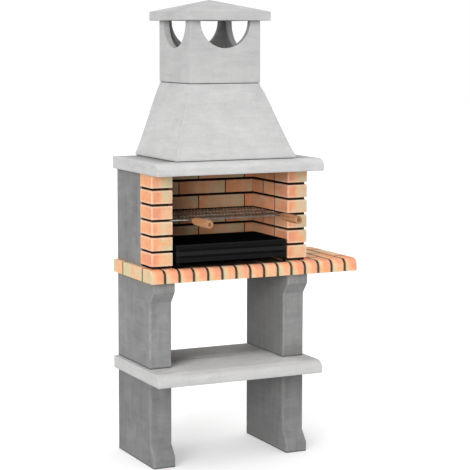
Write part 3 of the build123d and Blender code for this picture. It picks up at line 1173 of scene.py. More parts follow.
class PieceMesh:
    """Gathers blocks and castings into one mesh with its marks."""

    def __init__(self, name: str) -> None:
        """Start an empty mesh.

        Args:
            name: The piece's name.
        """
        self.name = name
        self.work = bmesh.new()
        layers = self.work.verts.layers.float
        self.arris = layers.new(Mark.ARRIS.value)
        self.firing = layers.new(Mark.FIRING.value)
        self.soot = layers.new(Mark.SOOT_AND_SHADE.value)

    def vert(
        self, place: Vector, arris: float, soot: float, firing: float = 0.0
    ) -> bmesh.types.BMVert:
        """Add one marked point.

        Args:
            place: Where it is.
            arris: How near an arris it lies, 0 to 1.
            soot: Soot and painted shade on it, 0 to 1.
            firing: Colour of the firing, 0 to 1.

        Returns:
            The new point.
        """
        vert = self.work.verts.new(place)
        vert[self.arris] = arris
        vert[self.soot] = soot
        vert[self.firing] = firing
        return vert

    @staticmethod
    def _stops(low: float, high: float, skin: Skin) -> list[float]:
        """Grid lines along one axis: close together in the arrises, then even.

        Args:
            low: The block's lower end.
            high: Its upper end.
            skin: Its surface.

        Returns:
            The lines' places, in order.
        """
        near = [low, low + skin.arris * skin.arris_line, low + skin.arris]
        far = [high - skin.arris, high - skin.arris * skin.arris_line, high]
        if skin.rim:
            near.append(low + skin.arris + skin.rim)
            far.insert(0, high - skin.arris - skin.rim)
        count = max(1, round((far[0] - near[-1]) / skin.cell))
        return near + [near[-1] + (far[0] - near[-1]) * i / count for i in range(1, count)] + far

    @staticmethod
    def _settle(point: Vector, box: Box, skin: Skin, shift: Vector) -> tuple[Vector, float]:
        """Round off a grid point of a block, and make its face a little uneven.

        Args:
            point: The point on the perfect block.
            box: The block's box.
            skin: Its surface.
            shift: Which part of the noise it reads.

        Returns:
            The point's place, and how near an arris it lies, 0 to 1.
        """
        bite = noise.noise(point * skin.chip_pitch + shift) - skin.chip_least
        radius = skin.arris * (1 + skin.chipping * max(0.0, bite))
        inner = Vector(
            min(max(point[a], box.low[a] + radius), box.high[a] - radius) for a in range(3)
        )
        outward = (point - inner).normalized()
        hollow = 0.5 + 0.5 * noise.noise(point * skin.pitch + shift)
        edge = sorted(min(point[a] - box.low[a], box.high[a] - point[a]) for a in range(3))[1]
        place = inner + outward * (radius - skin.unevenness * hollow)
        return place, skin.paled * max(0.0, 1 - edge / skin.band)

    def add_block(
        self,
        box: Box,
        skin: Skin,
        seed: int,
        bend: Bend | None = None,
        firing: ByPlace | None = None,
        soot: ByPlace = even(0.0),
        joints: Sequence[tuple[int, int]] = (),
    ) -> None:
        """Add a block with worn arrises and uneven faces.

        Args:
            box: Its place.
            skin: Its surface.
            seed: Which of the uneven surfaces it gets.
            bend: Moves each point once more.
            firing: Gives each point its firing, from its share along the three axes.
            soot: Soot and painted shade for each point from its place, 0 to 1.
            joints: Its ends with a dirty joint, each as the axis and 0 or 1.
        """
        stops = [self._stops(box.low[axis], box.high[axis], skin) for axis in range(3)]
        ends = [len(line) - 1 for line in stops]
        shift = Vector(seed * step for step in SEED_STEP)
        size = box.high - box.low
        grid = {}
        for i, x in enumerate(stops[0]):
            for j, y in enumerate(stops[1]):
                side = i in (0, ends[0]) or j in (0, ends[1])
                for k in range(ends[2] + 1) if side else (0, ends[2]):
                    point = Vector((x, y, stops[2][k]))
                    place, arris = self._settle(point, box, skin, shift)
                    share = Vector((point[a] - box.low[a]) / size[a] for a in range(3))
                    lines = (i, j, k)
                    ways = [ends[a] - lines[a] if end else lines[a] for a, end in joints]
                    dirty = min(ways, default=math.inf) < skin.grime_lines
                    grid[lines] = self.vert(
                        bend(place) if bend else place,
                        arris,
                        max(skin.grime if dirty else 0.0, soot(place)),
                        firing(share) if firing else 0.0,
                    )
        for axis in range(3):
            across, along = (axis + 1) % 3, (axis + 2) % 3
            for end in (0, ends[axis]):
                for a in range(ends[across]):
                    for b in range(ends[along]):
                        corners = []
                        for step_a, step_b in ((0, 0), (1, 0), (1, 1), (0, 1)):
                            key = [end, end, end]
                            key[across] = a + step_a
                            key[along] = b + step_b
                            corners.append(grid[tuple(key)])
                        if end == 0:
                            corners.reverse()
                        self.work.faces.new(corners)

    def add_stack(
        self,
        rings: Sequence[Ring],
        along_x: Columns,
        along_y: Columns,
        steps: int,
        closed: bool = False,
        bend: Bend | None = None,
    ) -> None:
        """Add a casting from its rings.

        Args:
            rings: The rings, from the lowest one up, and down again inside where it is hollow.
            along_x: Places the points of the front and back.
            along_y: Places the points of the two sides.
            steps: Segments in each corner.
            closed: Whether the last ring joins the first one; otherwise both ends are capped.
            bend: Moves each point.
        """
        loops = []
        for ring in rings:
            loop = []
            for place, corner in ring.points(along_x, along_y, steps):
                arris = 1.0 if corner or ring.worn else 0.0
                loop.append(self.vert(bend(place) if bend else place, arris, ring.soot))
            loops.append(loop)
        pairs = list(zip(loops, loops[1:]))
        if closed:
            pairs.append((loops[-1], loops[0]))
        for lower, upper in pairs:
            for index in range(len(lower)):
                following = (index + 1) % len(lower)
                self.work.faces.new(
                    (lower[index], lower[following], upper[following], upper[index])
                )
        if not closed:
            self.work.faces.new(list(reversed(loops[0])))
            self.work.faces.new(loops[-1])

    def darken(self, soot: ByPlace) -> None:
        """Darken the points by their place, with smoke-blackening and painted shade."""
        for vert in self.work.verts:
            vert[self.soot] = max(vert[self.soot], soot(vert.co))

    def weather(self, wear: Wear) -> None:
        """Wear a casting: its walls a little uneven, its arrises chipped here and there.

        Args:
            wear: How far it is worn.
        """
        self.work.normal_update()
        moves = []
        for vert in self.work.verts:
            level = 0.5 + 0.5 * noise.noise(vert.co * wear.pitch)
            bite = noise.noise(vert.co * wear.chip_pitch + CHIP_SHIFT) - wear.chip_least
            chip = wear.chip * max(0.0, bite) * vert[self.arris]
            capped = any(len(face.verts) > 4 for face in vert.link_faces)
            moves.append(0.0 if capped else -(wear.depth * level + chip))
        for vert, move in zip(self.work.verts, moves):
            vert.co += vert.normal * move

    def close(
        self, material: bpy.types.Material, slot: Slot, node: str, crease: float = 38.0
    ) -> None:
        """Make the piece from the mesh, on the masonry, in the place of its CAD node.

        Args:
            material: Its finish.
            slot: The record's slot of that finish; not used.
            node: The CAD node that it stands for.
            crease: Edges sharper than this many degrees stay sharp.
        """
        bmesh.ops.recalc_face_normals(self.work, faces=self.work.faces[:])
        mesh = bpy.data.meshes.new(self.name)
        self.work.to_mesh(mesh)
        self.work.free()
        mesh.materials.append(material)
        mesh.polygons.foreach_set("use_smooth", [True] * len(mesh.polygons))
        mesh.set_sharp_from_angle(angle=math.radians(crease))
        piece = bpy.data.objects.new(self.name, mesh)
        bpy.context.scene.collection.objects.link(piece)
        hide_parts(node)
        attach(piece, MASONRY)
        log.info("%s: %d faces with %s", piece.name, len(mesh.polygons), material.name)


def dress(node: bpy.types.Object, material: bpy.types.Material) -> None:
    """Give a CAD node its finish.

    Args:
        node: The CAD node's object.
        material: Its finish.
    """
    for slot in node.material_slots:
        slot.material = material
    log.info("%s: its CAD shape with %s", node.name, material.name)


# Sub-assemblies


@dataclass(frozen=True)
class Leg:
    """One casting from the mould of the legs.

    Its shade is a painted shade that fades from one height above its foot to another: both heights,
    and the share at the first.
    """

    node: str
    toe: Toe
    shade: Triple | None = None


@dataclass
class Legs:
    """Two feet and two upper legs from one mould, toe down and toe up."""

    finishes: Finishes
    toe_projection: float = 0.040
    toe_lip: float = 0.044
    toe_slope_height: float = 0.050
    lip_tangent: float = 0.0016
    shaft_tangent: float = 0.004
    round_steps: int = 4
    corner_steps: int = 2
    front_chamfer: float = 0.005
    back_arris: float = 0.0025
    end_arris: float = 0.002
    band: float = 0.007
    level_cell: float = 0.045
    column_cell: float = 0.045
    # Painted contact shadow along the bottom of each leg.
    contact_shadow: float = 0.75
    # Painted shade on the legs' inner faces, between them, deeper towards the back.
    inner_shade_of_feet: Span = (0.06, 0.52)
    inner_shade_of_upper_legs: Span = (0.22, 0.66)
    wear: Wear = Wear(0.0006, 11.0, 0.001)
    legs: tuple[Leg, ...] = (
        Leg("left_foot", Toe.DOWN),
        Leg("right_foot", Toe.DOWN, (0.377, 0.13, 0.3)),
        Leg("left_upper_leg", Toe.UP),
        Leg("right_upper_leg", Toe.UP, (0.0, 0.11, 0.34)),
    )

    def _front(self, toe: float, height: float) -> list[tuple[float, float]]:
        """The front of a leg that stands on its toe.

        Args:
            toe: Y of the toe's front.
            height: The leg's height.

        Returns:
            Pairs of Y and height from the toe's end.
        """
        shaft = toe + self.toe_projection
        run = Vector((self.toe_projection, self.toe_slope_height)).normalized()
        upright = Vector((0.0, 1.0))
        lip = Vector((toe, self.toe_lip))
        shoulder = Vector((shaft, self.toe_lip + self.toe_slope_height))
        points = [Vector((toe, 0.0)), Vector((toe, self.toe_lip / 2))]
        points += self._round(
            lip - upright * self.lip_tangent, lip, lip + run * self.lip_tangent
        )
        points += self._round(
            shoulder - run * self.shaft_tangent, shoulder, shoulder + upright * self.shaft_tangent
        )
        start = points[-1].y
        count = round((height - start) / self.level_cell)
        points += [
            Vector((shaft, start + (height - start) * step / count)) for step in range(1, count + 1)
        ]
        return [(point.x, point.y) for point in points]

    def _round(self, start: Vector, corner: Vector, end: Vector) -> list[Vector]:
        """Points on the round between two tangent points.

        Args:
            start: The first tangent point.
            corner: The sharp corner.
            end: The other tangent point.

        Returns:
            The points, in order.
        """
        found = []
        for step in range(self.round_steps + 1):
            share = step / self.round_steps
            rest = 1 - share
            found.append(start * rest**2 + corner * (2 * share * rest) + end * share**2)
        return found

    def _leg(self, leg: Leg) -> None:
        """Make one leg.

        Args:
            leg: Which one.
        """
        box = node_box(leg.node)
        down = leg.toe is Toe.DOWN
        rings = []
        for front, up in self._front(box.low.y, box.high.z - box.low.z):
            level = box.low.z + up if down else box.high.z - up
            corners = (self.front_chamfer, self.back_arris)
            rings.append(Ring(box.low.x, box.high.x, front, box.high.y, level, *corners))
        if not down:
            rings.reverse()
        piece = PieceMesh(f"{leg.node}_casting")
        across = even_columns(round((box.high.x - box.low.x) / self.column_cell), self.band)
        along = even_columns(round((box.high.y - box.low.y) / self.column_cell), self.band)
        piece.add_stack(
            stacked(rings, self.end_arris, self.band), across, along, self.corner_steps
        )
        # The inner face, between the legs, takes a painted shade that deepens towards the back.
        inner = box.high.x if leg.node.startswith("left") else box.low.x
        spread = self.inner_shade_of_feet if down else self.inner_shade_of_upper_legs
        damp = fading(1, box.low.y, box.high.y, *spread)
        piece.darken(lambda place: damp(place) * (abs(place.x - inner) < self.end_arris))
        # A painted shade: under the shelf on the right foot, low down on the right upper leg.
        if leg.shade:
            start, end, most = leg.shade
            piece.darken(fading(2, box.low.z + start, box.low.z + end, most, 0.0))
        # A painted contact shadow along the bottom, where the leg stands.
        sole = box.low.z + self.end_arris * 1.5
        piece.darken(lambda place: self.contact_shadow * (place.z < sole))
        piece.weather(self.wear)
        finish = self.finishes.foot if down else self.finishes.grey
        piece.close(finish, Slot.GREY_CONCRETE, leg.node)

    def build(self) -> None:
        """Make the four legs."""
        for leg in self.legs:
            self._leg(leg)


@dataclass
class Slabs:
    """Shelf and mantel with their rounded front edge."""

    finishes: Finishes
    nose_depth: float = 0.048
    nose_height: float = 0.030
    nose_steps: int = 9
    smoke_hole_side: float = 0.045
    smoke_hole_front: float = 0.131
    smoke_hole_back: float = 0.058
    soot: float = 0.8
    insets: tuple[float, ...] = (0.05, 0.12, 0.19, 0.26, 0.33, 0.4, 0.46)
    # Painted shadow on the shelf's top: of the worktop above, deepest at the back, and of the left
    # leg beside it.
    worktop_shadow: float = 0.58
    leg_shadow: float = 0.32
    leg_shadow_reach: float = 0.2
    shadow_line: float = 0.46
    shadow_bulge: float = 0.2
    shadow_edge: float = 0.22
    # Painted shade on every face of the shelf but its top between the legs, so that the brighter
    # batch paints light on that top alone.
    shade_off_top: float = 0.19
    corner: float = 0.003
    corner_steps: int = 3
    arris: float = 0.0022
    band: float = 0.007
    cell: float = 0.05
    wear: Wear = Wear(0.0005, 9.0, 0.001)

    def _ring(self, box: Box, front: float, level: float) -> Ring:
        """One ring of a slab."""
        return Ring(box.low.x, box.high.x, front, box.high.y, level, self.corner, self.corner)

    def _nose(self, box: Box) -> list[Ring]:
        """Rings of a slab's outside from the foot of its nose up.

        Args:
            box: The slab's box.

        Returns:
            The rings, their ends and back drawn in at the top's arris.
        """
        level = box.high.z - self.nose_height
        rings = [self._ring(box, box.low.y, level)]
        for step in range(1, self.nose_steps + 1):
            angle = math.pi / 2 * step / self.nose_steps
            front = box.low.y + self.nose_depth * (1 - math.cos(angle))
            ring = self._ring(box, front, level + self.nose_height * math.sin(angle))
            depth = max(0.0, ring.level - (box.high.z - self.arris))
            by = self.arris - math.sqrt(max(0.0, self.arris**2 - depth**2))
            rings.append(
                replace(ring, left=ring.left + by, right=ring.right - by, back=ring.back - by)
            )
        return rings

    def _outside(self, box: Box) -> list[Ring]:
        """Rings of a slab's outside, with rounded lower arrises.

        Args:
            box: The slab's box.

        Returns:
            The rings, from the underside up and in over the top's arris.
        """
        foot = rounded_end(self._ring(box, box.low.y, box.low.z), self.arris, self.band, 1)
        nose = self._nose(box)
        top = self._ring(box, box.low.y + self.nose_depth, box.high.z)
        head = [
            top.inset(self.arris, top.level, True),
            top.inset(self.arris + self.band, top.level, False),
        ]
        return foot + nose + head

    def _columns(self, box: Box) -> tuple[Columns, Columns]:
        """Places of the points along a slab's sides.

        Args:
            box: The slab's box.

        Returns:
            The places along X and along Y.
        """
        size = box.high - box.low
        return (
            even_columns(round(size.x / self.cell), self.band),
            even_columns(round(size.y / self.cell), self.band),
        )

    def _painted_shadow(self, shelf: Box) -> ByPlace:
        """Painted shadow on the shelf between the legs, of the worktop above and the left leg:
        deepest at the back and by the left leg.

        Args:
            shelf: The shelf's box.

        Returns:
            The painted shade by place.
        """
        left = node_box("left_upper_leg").high.x
        right = node_box("right_upper_leg").low.x

        def soot(place: Vector) -> float:
            """Painted shade at one place.

            Args:
                place: The place.

            Returns:
                The painted shade.
            """
            between = left - self.cell < place.x < right + self.cell
            if place.z < shelf.high.z - self.arris or not between:
                return self.shade_off_top
            near = clamped(1 - (place.x - left) / self.leg_shadow_reach)
            share = (place.y - shelf.low.y) / (shelf.high.y - shelf.low.y)
            back = clamped((share - self.shadow_line + self.shadow_bulge * near) / self.shadow_edge)
            return (self.worktop_shadow + self.leg_shadow * near) * back

        return soot

    def _shelf(self) -> None:
        """Make the shelf."""
        box = node_box("shelf_slab")
        rings = self._outside(box)
        depth = box.high.y - box.low.y - self.nose_depth
        rings += [rings[-1].inset(depth * share, box.high.z, False) for share in self.insets]
        piece = PieceMesh("shelf_slab_casting")
        piece.add_stack(rings, *self._columns(box), self.corner_steps)
        piece.darken(self._painted_shadow(box))
        piece.weather(self.wear)
        piece.close(self.finishes.shelf, Slot.LIGHT_CONCRETE, "shelf_slab")

    def _mantel(self) -> None:
        """Make the mantel with its smoke hole."""
        box = node_box("mantel_slab")
        hood = node_box("hood")
        hole = Ring(
            hood.low.x + self.smoke_hole_side,
            hood.high.x - self.smoke_hole_side,
            box.low.y + self.smoke_hole_front,
            box.high.y - self.smoke_hole_back,
            box.low.z,
            self.corner,
            self.corner,
            soot=self.soot,
        )
        inner = stacked([hole, replace(hole, level=box.high.z)], self.arris, self.band, -1)
        piece = PieceMesh("mantel_slab_casting")
        rings = self._outside(box) + inner[::-1]
        piece.add_stack(rings, *self._columns(box), self.corner_steps, closed=True)
        piece.weather(self.wear)
        piece.close(self.finishes.light, Slot.LIGHT_CONCRETE, "mantel_slab")

    def build(self) -> None:
        """Make both slabs."""
        self._shelf()
        self._mantel()


@dataclass
class Worktop:
    """Fifteen strips of brick with round noses, and the mortar between them."""

    nodes: dict[str, bpy.types.Object]
    finishes: Finishes
    chance: random.Random
    nose_radius: float = 0.030
    # Under the pan the bricks are darkened: smoke-blackening, and the pan's painted shadow.
    pan_soot_and_shadow: float = 0.9
    pan_soot_and_shadow_edge: float = 0.014
    # Painted shade at the joints between the strips: on the bricks' edges beside them and on the
    # mortar's top.
    joint_edge_shade: float = 0.28
    joint_shade_depth: float = 0.01
    joint_shade: float = 0.7
    noses: Flame = Flame(0.64, 0.9, (-0.1, 0.1, -0.35), turn=-0.5, turn_at=0.36, turn_width=0.26)
    field: Flame = Flame(0.45, 0.8, (0.0, 0.5, 0.0))
    brick: Skin = Skin(
        arris=0.0009,
        cell=0.0085,
        unevenness=0.0005,
        pitch=24.0,
        chipping=2.6,
        band=0.003,
        paled=0.25,
        rim=0.0042,
        grime=1.0,
    )
    strip: Skin = Skin(arris=0.0008, cell=0.006, unevenness=0.0011, pitch=120.0)
    cross: Skin = Skin(arris=0.0008, cell=0.006, unevenness=0.0005, pitch=120.0)
    nose_seed: int = 50
    field_seed: int = 90
    strip_seed: int = 200
    cross_seed: int = 300

    def _bricks(self, name: str, nosed: bool) -> None:
        """Make the bricks of one node.

        Args:
            name: The CAD node.
            nosed: Whether they have round noses.
        """
        piece = PieceMesh(f"{name}_fired")
        last = node_box("worktop_field_bricks").high.y - self.brick.cell
        flame, seed = (self.noses, self.nose_seed) if nosed else (self.field, self.field_seed)
        for index, box in enumerate(solid_boxes(self.nodes[name])):
            bend = nose_bend(box.low.y, box.high.z, self.nose_radius) if nosed else None
            joints = [] if nosed else [(1, 0)]
            if box.high.y < last:
                joints.append((1, 1))
            firing = flame.brick(self.chance)
            piece.add_block(box, self.brick, seed + index, bend, firing, self._soot_and_shade(box), joints)
        piece.close(self.finishes.brick, Slot.FIREBRICK, name)

    def _soot_and_shade(self, box: Box) -> ByPlace:
        """Darkening of one brick: smoke-blackening and the pan's painted shadow under the pan, and
        painted shade along its edges at the dark joints.

        Args:
            box: The brick's box.

        Returns:
            The darkening by place.
        """
        pan = node_box("fire_pan_tray")
        whole = node_box("worktop_nose_bricks")
        first, last = whole.low.x + self.brick.cell, whole.high.x - self.brick.cell
        edges = [x for x in (box.low.x, box.high.x) if first < x < last]

        def soot(place: Vector) -> float:
            """Darkening at one place.

            Args:
                place: The place.

            Returns:
                The darkening.
            """
            beyond = max(max(pan.low[a] - place[a], place[a] - pan.high[a]) for a in (0, 1))
            near = any(abs(place.x - edge) < 2 * self.brick.arris for edge in edges)
            under = clamped(self.pan_soot_and_shadow - beyond / self.pan_soot_and_shadow_edge)
            return max(under, self.joint_edge_shade * near)

        return soot

    def _strips(self) -> None:
        """Make the dark mortar between the strips."""
        name = "worktop_strip_mortar"
        piece = PieceMesh("worktop_strip_pointing")
        for index, box in enumerate(solid_boxes(self.nodes[name])):
            bend = nose_bend(box.low.y, box.high.z, self.nose_radius)
            # Painted shade along the top of the joint.
            joint_top_shade = fading(2, box.high.z - self.joint_shade_depth, box.high.z, 0.0, self.joint_shade)
            piece.add_block(box, self.strip, self.strip_seed + index, bend, None, joint_top_shade)
        piece.close(self.finishes.dark_mortar, Slot.DARK_MORTAR, name)

    def _crosses(self) -> None:
        """Make the thin brown mortar inside the strips."""
        name = "worktop_cross_mortar"
        piece = PieceMesh("worktop_cross_pointing")
        for index, box in enumerate(solid_boxes(self.nodes[name])):
            piece.add_block(box, self.cross, self.cross_seed + index)
        piece.close(self.finishes.brown_mortar, Slot.BROWN_MORTAR, name)

    def build(self) -> None:
        """Make the bricks and the mortar."""
        self._bricks("worktop_nose_bricks", True)
        self._bricks("worktop_field_bricks", False)
        self._strips()
        self._crosses()


@dataclass(frozen=True)
class Wall:
    """The bricks of one CAD node: their surface, firing, smoke-blackening and painted shade, and
    ends with dirty joints.
    """

    node: str
    skin: Skin
    flame: Flame
    soot: ByPlace
    joints: Sequence[tuple[int, int]] = ()


@dataclass
class Firebox:
    """Piers, linings, mortar and outer panels of the firebox."""

    nodes: dict[str, bpy.types.Object]
    finishes: Finishes
    chance: random.Random
    brick: Skin = Skin(
        arris=0.0011, cell=0.0085, unevenness=0.0005, pitch=24.0, chipping=2.6, band=0.0055
    )
    lining: Skin = Skin(
        arris=0.0007,
        cell=0.0085,
        unevenness=0.0005,
        pitch=24.0,
        chipping=2.6,
        band=0.0045,
        paled=0.0,
        rim=0.0012,
    )
    bed: Skin = Skin(arris=0.0012, cell=0.009, unevenness=0.0016, pitch=90.0)
    cross: Skin = Skin(arris=0.0006, cell=0.009, unevenness=0.0006, pitch=120.0)
    panel: Skin = Skin(arris=0.0022, cell=0.04, unevenness=0.0006, pitch=9.0, chipping=1.0)
    pier: Flame = Flame(0.18, 0.36, (0.1, 0.3, 0.0), turn=0.55, turn_at=0.38, turn_width=0.34)
    side: Flame = Flame(0.2, 0.5, (0.0, 0.3, 0.0))
    back: Flame = Flame(0.4, 0.65, (0.6, 0.0, 0.0))
    left_pier_soot: float = 0.03
    right_pier_soot: float = 0.1
    # Smoke-blackening and painted shade on the linings, deeper towards the back.
    left_soot_and_shade: Span = (0.1, 0.6)
    right_soot_and_shade: Span = (-0.02, 0.2)
    # Smoke-blackening and the left pier's painted shadow across the back wall, darkest at the left.
    back_soot_and_shadow: Span = (1.08, 0.17)
    # Painted shade low down and painted light at the top, where the mantel shadows the wall.
    height_shade_and_light: Span = (0.28, -0.14)
    # Painted shade in the dark beds, deepening behind the piers' front.
    bed_shade: Span = (0.75, 1.0)
    pier_reach: float = 0.04
    brick_seed: int = 400
    bed_seed: int = 700
    cross_seed: int = 900
    panel_seed: int = 1000
    seed_step: int = 40

    def _walls(self) -> list[Wall]:
        """Describe the walls: the firebox is darkened low down, at the back and most at the left,
        partly by smoke and mostly by painted shade: the left pier's painted shadow across the back
        wall, and painted light at the top under the mantel.

        Returns:
            The walls, in the order in which their firing is drawn.
        """
        back = node_box("back_lining_bricks")
        side = node_box("right_lining_bricks")
        inward = fading(1, side.low.y, side.high.y, *self.right_soot_and_shade)
        across = fading(0, back.low.x, back.middle.x, *self.back_soot_and_shadow)
        rising = fading(2, back.low.z, back.high.z, *self.height_shade_and_light)
        left, right = fading(1, side.low.y, side.high.y, *self.left_soot_and_shade), summed(inward, rising)
        in_depth, in_width = ((1, 0), (1, 1)), ((0, 0), (0, 1))
        return [
            Wall("left_pier_bricks", self.brick, self.pier, even(self.left_pier_soot)),
            Wall("right_pier_bricks", self.brick, self.pier, even(self.right_pier_soot)),
            Wall("left_lining_bricks", self.lining, self.side, left, in_depth),
            Wall("right_lining_bricks", self.lining, self.side, right, in_depth),
            Wall("back_lining_bricks", self.lining, self.back, summed(across, rising), in_width),
        ]

    def _mortar(self, name: str, skin: Skin, seed: int, slot: Slot) -> None:
        """Make the mortar of one node.

        Args:
            name: The CAD node.
            skin: Its surface.
            seed: Which of the uneven surfaces its first block gets.
            slot: The record's slot of its finish.
        """
        dark = slot is Slot.DARK_MORTAR
        finish = self.finishes.dark_mortar if dark else self.finishes.brown_mortar
        front = node_box("left_pier_bricks").low.y
        # Painted shade in the recessed beds behind the piers' front.
        soot = fading(1, front, front + self.pier_reach, *self.bed_shade) if dark else even(0.0)
        piece = PieceMesh(f"{name}_pointing")
        for index, box in enumerate(solid_boxes(self.nodes[name])):
            piece.add_block(box, skin, seed + index, soot=soot)
        piece.close(finish, slot, name)

    def build(self) -> None:
        """Make the bricks, the mortar and the panels."""
        for order, wall in enumerate(self._walls()):
            piece = PieceMesh(f"{wall.node}_fired")
            seed = self.brick_seed + self.seed_step * order
            for index, box in enumerate(solid_boxes(self.nodes[wall.node])):
                firing = wall.flame.brick(self.chance)
                piece.add_block(box, wall.skin, seed + index, None, firing, wall.soot, wall.joints)
            piece.close(self.finishes.brick, Slot.FIREBRICK, wall.node)
        for order, side in enumerate(("left", "right", "back")):
            seed = self.bed_seed + self.seed_step * order
            self._mortar(f"{side}_bed_mortar", self.bed, seed, Slot.DARK_MORTAR)
        self._mortar("lining_cross_mortar", self.cross, self.cross_seed, Slot.BROWN_MORTAR)
        for order, name in enumerate(("left_side_panel", "right_side_panel", "back_panel")):
            piece = PieceMesh(f"{name}_casting")
            piece.add_block(node_box(name), self.panel, self.panel_seed + order)
            piece.close(self.finishes.panel, Slot.GREY_CONCRETE, name)


@dataclass
class HoodAndChimney:
    """Hood, chimney with its half-round outlets, cap and the two mortar beds."""

    finishes: Finishes
    hood_wall: float = 0.030
    hood_levels: int = 8
    hood_columns: int = 13
    chimney_wall: float = 0.028
    chimney_levels: int = 6
    outlet_radius: float = 0.119
    outlet_steps: int = 18
    reveal_rings: int = 4
    cap_edge: float = 0.039
    cap_columns: int = 7
    cap_band: float = 0.0006
    cap_crease: float = 12.0
    crown_steps: int = 9
    crown_tip: float = 0.002
    hood_bed: float = 0.026
    chimney_bed: float = 0.024
    bed_columns: int = 24
    bed_corner_steps: int = 2
    soot: float = 0.8
    # Smoke-blackening and painted shade inside the chimney and on its reveals.
    flue_soot_and_shade: float = 0.36
    corner: float = 0.0018
    corner_steps: int = 3
    arris: float = 0.002
    band: float = 0.007
    hood_wear: Wear = Wear(0.0005, 8.0, 0.001)
    flue_wear: Wear = Wear(0.0004, 9.0, 0.001)
    bed_wear: Wear = Wear(0.0008, 90.0)

    def _square(self, box: Box, level: float) -> Ring:
        """Outline of a box at a level."""
        corners = (self.corner, self.corner)
        return Ring(box.low.x, box.high.x, box.low.y, box.high.y, level, *corners)

    def _sloped(self, low: Ring, high: Ring, count: int) -> list[Ring]:
        """Rings between two rings.

        Args:
            low: The lowest ring.
            high: The highest ring.
            count: Steps between them.

        Returns:
            The rings, from the lowest to the highest.
        """
        found = []
        for step in range(count + 1):
            share = step / count
            values = [
                getattr(low, name) * (1 - share) + getattr(high, name) * share
                for name in ("left", "right", "front", "back", "level")
            ]
            found.append(Ring(*values, self.corner, self.corner))
        return found

    def _shell(
        self, low: Ring, high: Ring, walls: tuple[float, float], count: int
    ) -> tuple[list[Ring], list[Ring]]:
        """Outer and inner rings of a hollow casting.

        Args:
            low: Its lowest outline.
            high: Its highest outline.
            walls: Thickness of the walls at both.
            count: Steps between them.

        Returns:
            The outer rings and the inner rings, each from the lowest to the highest.
        """
        inner_low = low.inset(walls[0], low.level, False)
        inner_high = high.inset(walls[1], high.level, False)
        outer = stacked(self._sloped(low, high, count), self.arris, self.band)
        return outer, stacked(
            self._sloped(inner_low, inner_high, count), self.arris, self.band, -1
        )

    def _hood(self) -> None:
        """Make the hollow hood."""
        box = node_box("hood")
        low = self._square(box, box.low.z)
        high = self._square(node_box("chimney"), box.high.z)
        walls = (self.hood_wall, self.chimney_wall)
        outer, inner = self._shell(low, high, walls, self.hood_levels)
        piece = PieceMesh("hood_casting")
        columns = even_columns(self.hood_columns, self.band)
        rings = outer + sooted_and_shaded(inner, self.soot)[::-1]
        piece.add_stack(rings, columns, columns, self.corner_steps, closed=True)
        piece.weather(self.hood_wear)
        piece.close(self.finishes.hood, Slot.LIGHT_CONCRETE, "hood")

    def _chimney(self) -> None:
        """Make the chimney: each wall's top dips round its outlet."""
        box = node_box("chimney")
        low, high = box.low.z, box.high.z
        middle = box.middle

        def columns(start: float, end: float) -> list[float]:
            """Places evenly round the outlet's curve.

            Args:
                start: The side's first end.
                end: Its other end.

            Returns:
                The places, in order.
            """
            centre = (start + end) / 2
            reach = math.copysign(self.outlet_radius, end - start)
            edge = math.copysign(self.band, end - start)
            steps = range(self.outlet_steps + 1)
            angles = [math.pi * (step / self.outlet_steps - 0.5) for step in steps]
            places = [centre + reach * math.sin(angle) for angle in angles]
            return [start + edge, *places, end - edge]

        def dip(point: Vector) -> Vector:
            """Lower a point in step with the top of its column.

            Args:
                point: Where it is.

            Returns:
                Where it goes.
            """
            off = min(abs(point.x - middle.x), abs(point.y - middle.y))
            drop = math.sqrt(max(0.0, self.outlet_radius**2 - off**2))
            share = (point.z - low) / (high - low)
            return Vector((point.x, point.y, low + share * (high - low - drop)))

        def reveal_soot_and_shade(place: Vector) -> float:
            """Soot and painted shade on the reveals in the front and back walls.

            Args:
                place: The place.

            Returns:
                The darkening.
            """
            across, deep = (
                min(place[a] - box.low[a], box.high[a] - place[a]) for a in (0, 1)
            )
            within = min(across, deep) > self.arris * 0.9
            return self.flue_soot_and_shade * (within and deep < self.chimney_wall + self.arris * 2)

        walls = (self.chimney_wall, self.chimney_wall)
        outer, inner = self._shell(
            self._square(box, low), self._square(box, high), walls, self.chimney_levels
        )
        flue, reveal = inner[: -self.reveal_rings], inner[-self.reveal_rings :]
        rings = outer + (sooted_and_shaded(flue, self.flue_soot_and_shade) + reveal)[::-1]
        piece = PieceMesh("chimney_casting")
        piece.add_stack(rings, columns, columns, self.corner_steps, closed=True, bend=dip)
        piece.darken(reveal_soot_and_shade)
        piece.weather(self.flue_wear)
        piece.close(self.finishes.flue, Slot.LIGHT_CONCRETE, "chimney")

    def _cap(self) -> None:
        """Make the cap: a square edge and a low pyramid."""
        box = node_box("chimney_cap")
        size = (box.high.x - box.low.x) / 2
        edge = box.low.z + self.cap_edge
        crown = self._square(box, edge)
        rings = stacked([self._square(box, box.low.z), crown], self.arris, self.band)[:-1]
        for step in range(self.crown_steps + 1):
            share = step / self.crown_steps
            by = (size - self.crown_tip) * share if step else self.arris + self.band
            level = edge + (box.high.z - edge) * by / size
            rings.append(crown.inset(by, level, False))
        piece = PieceMesh("chimney_cap_casting")
        columns = even_columns(self.cap_columns, self.cap_band)
        piece.add_stack(rings, columns, columns, self.corner_steps)
        piece.weather(self.flue_wear)
        piece.close(self.finishes.flue, Slot.LIGHT_CONCRETE, "chimney_cap", self.cap_crease)

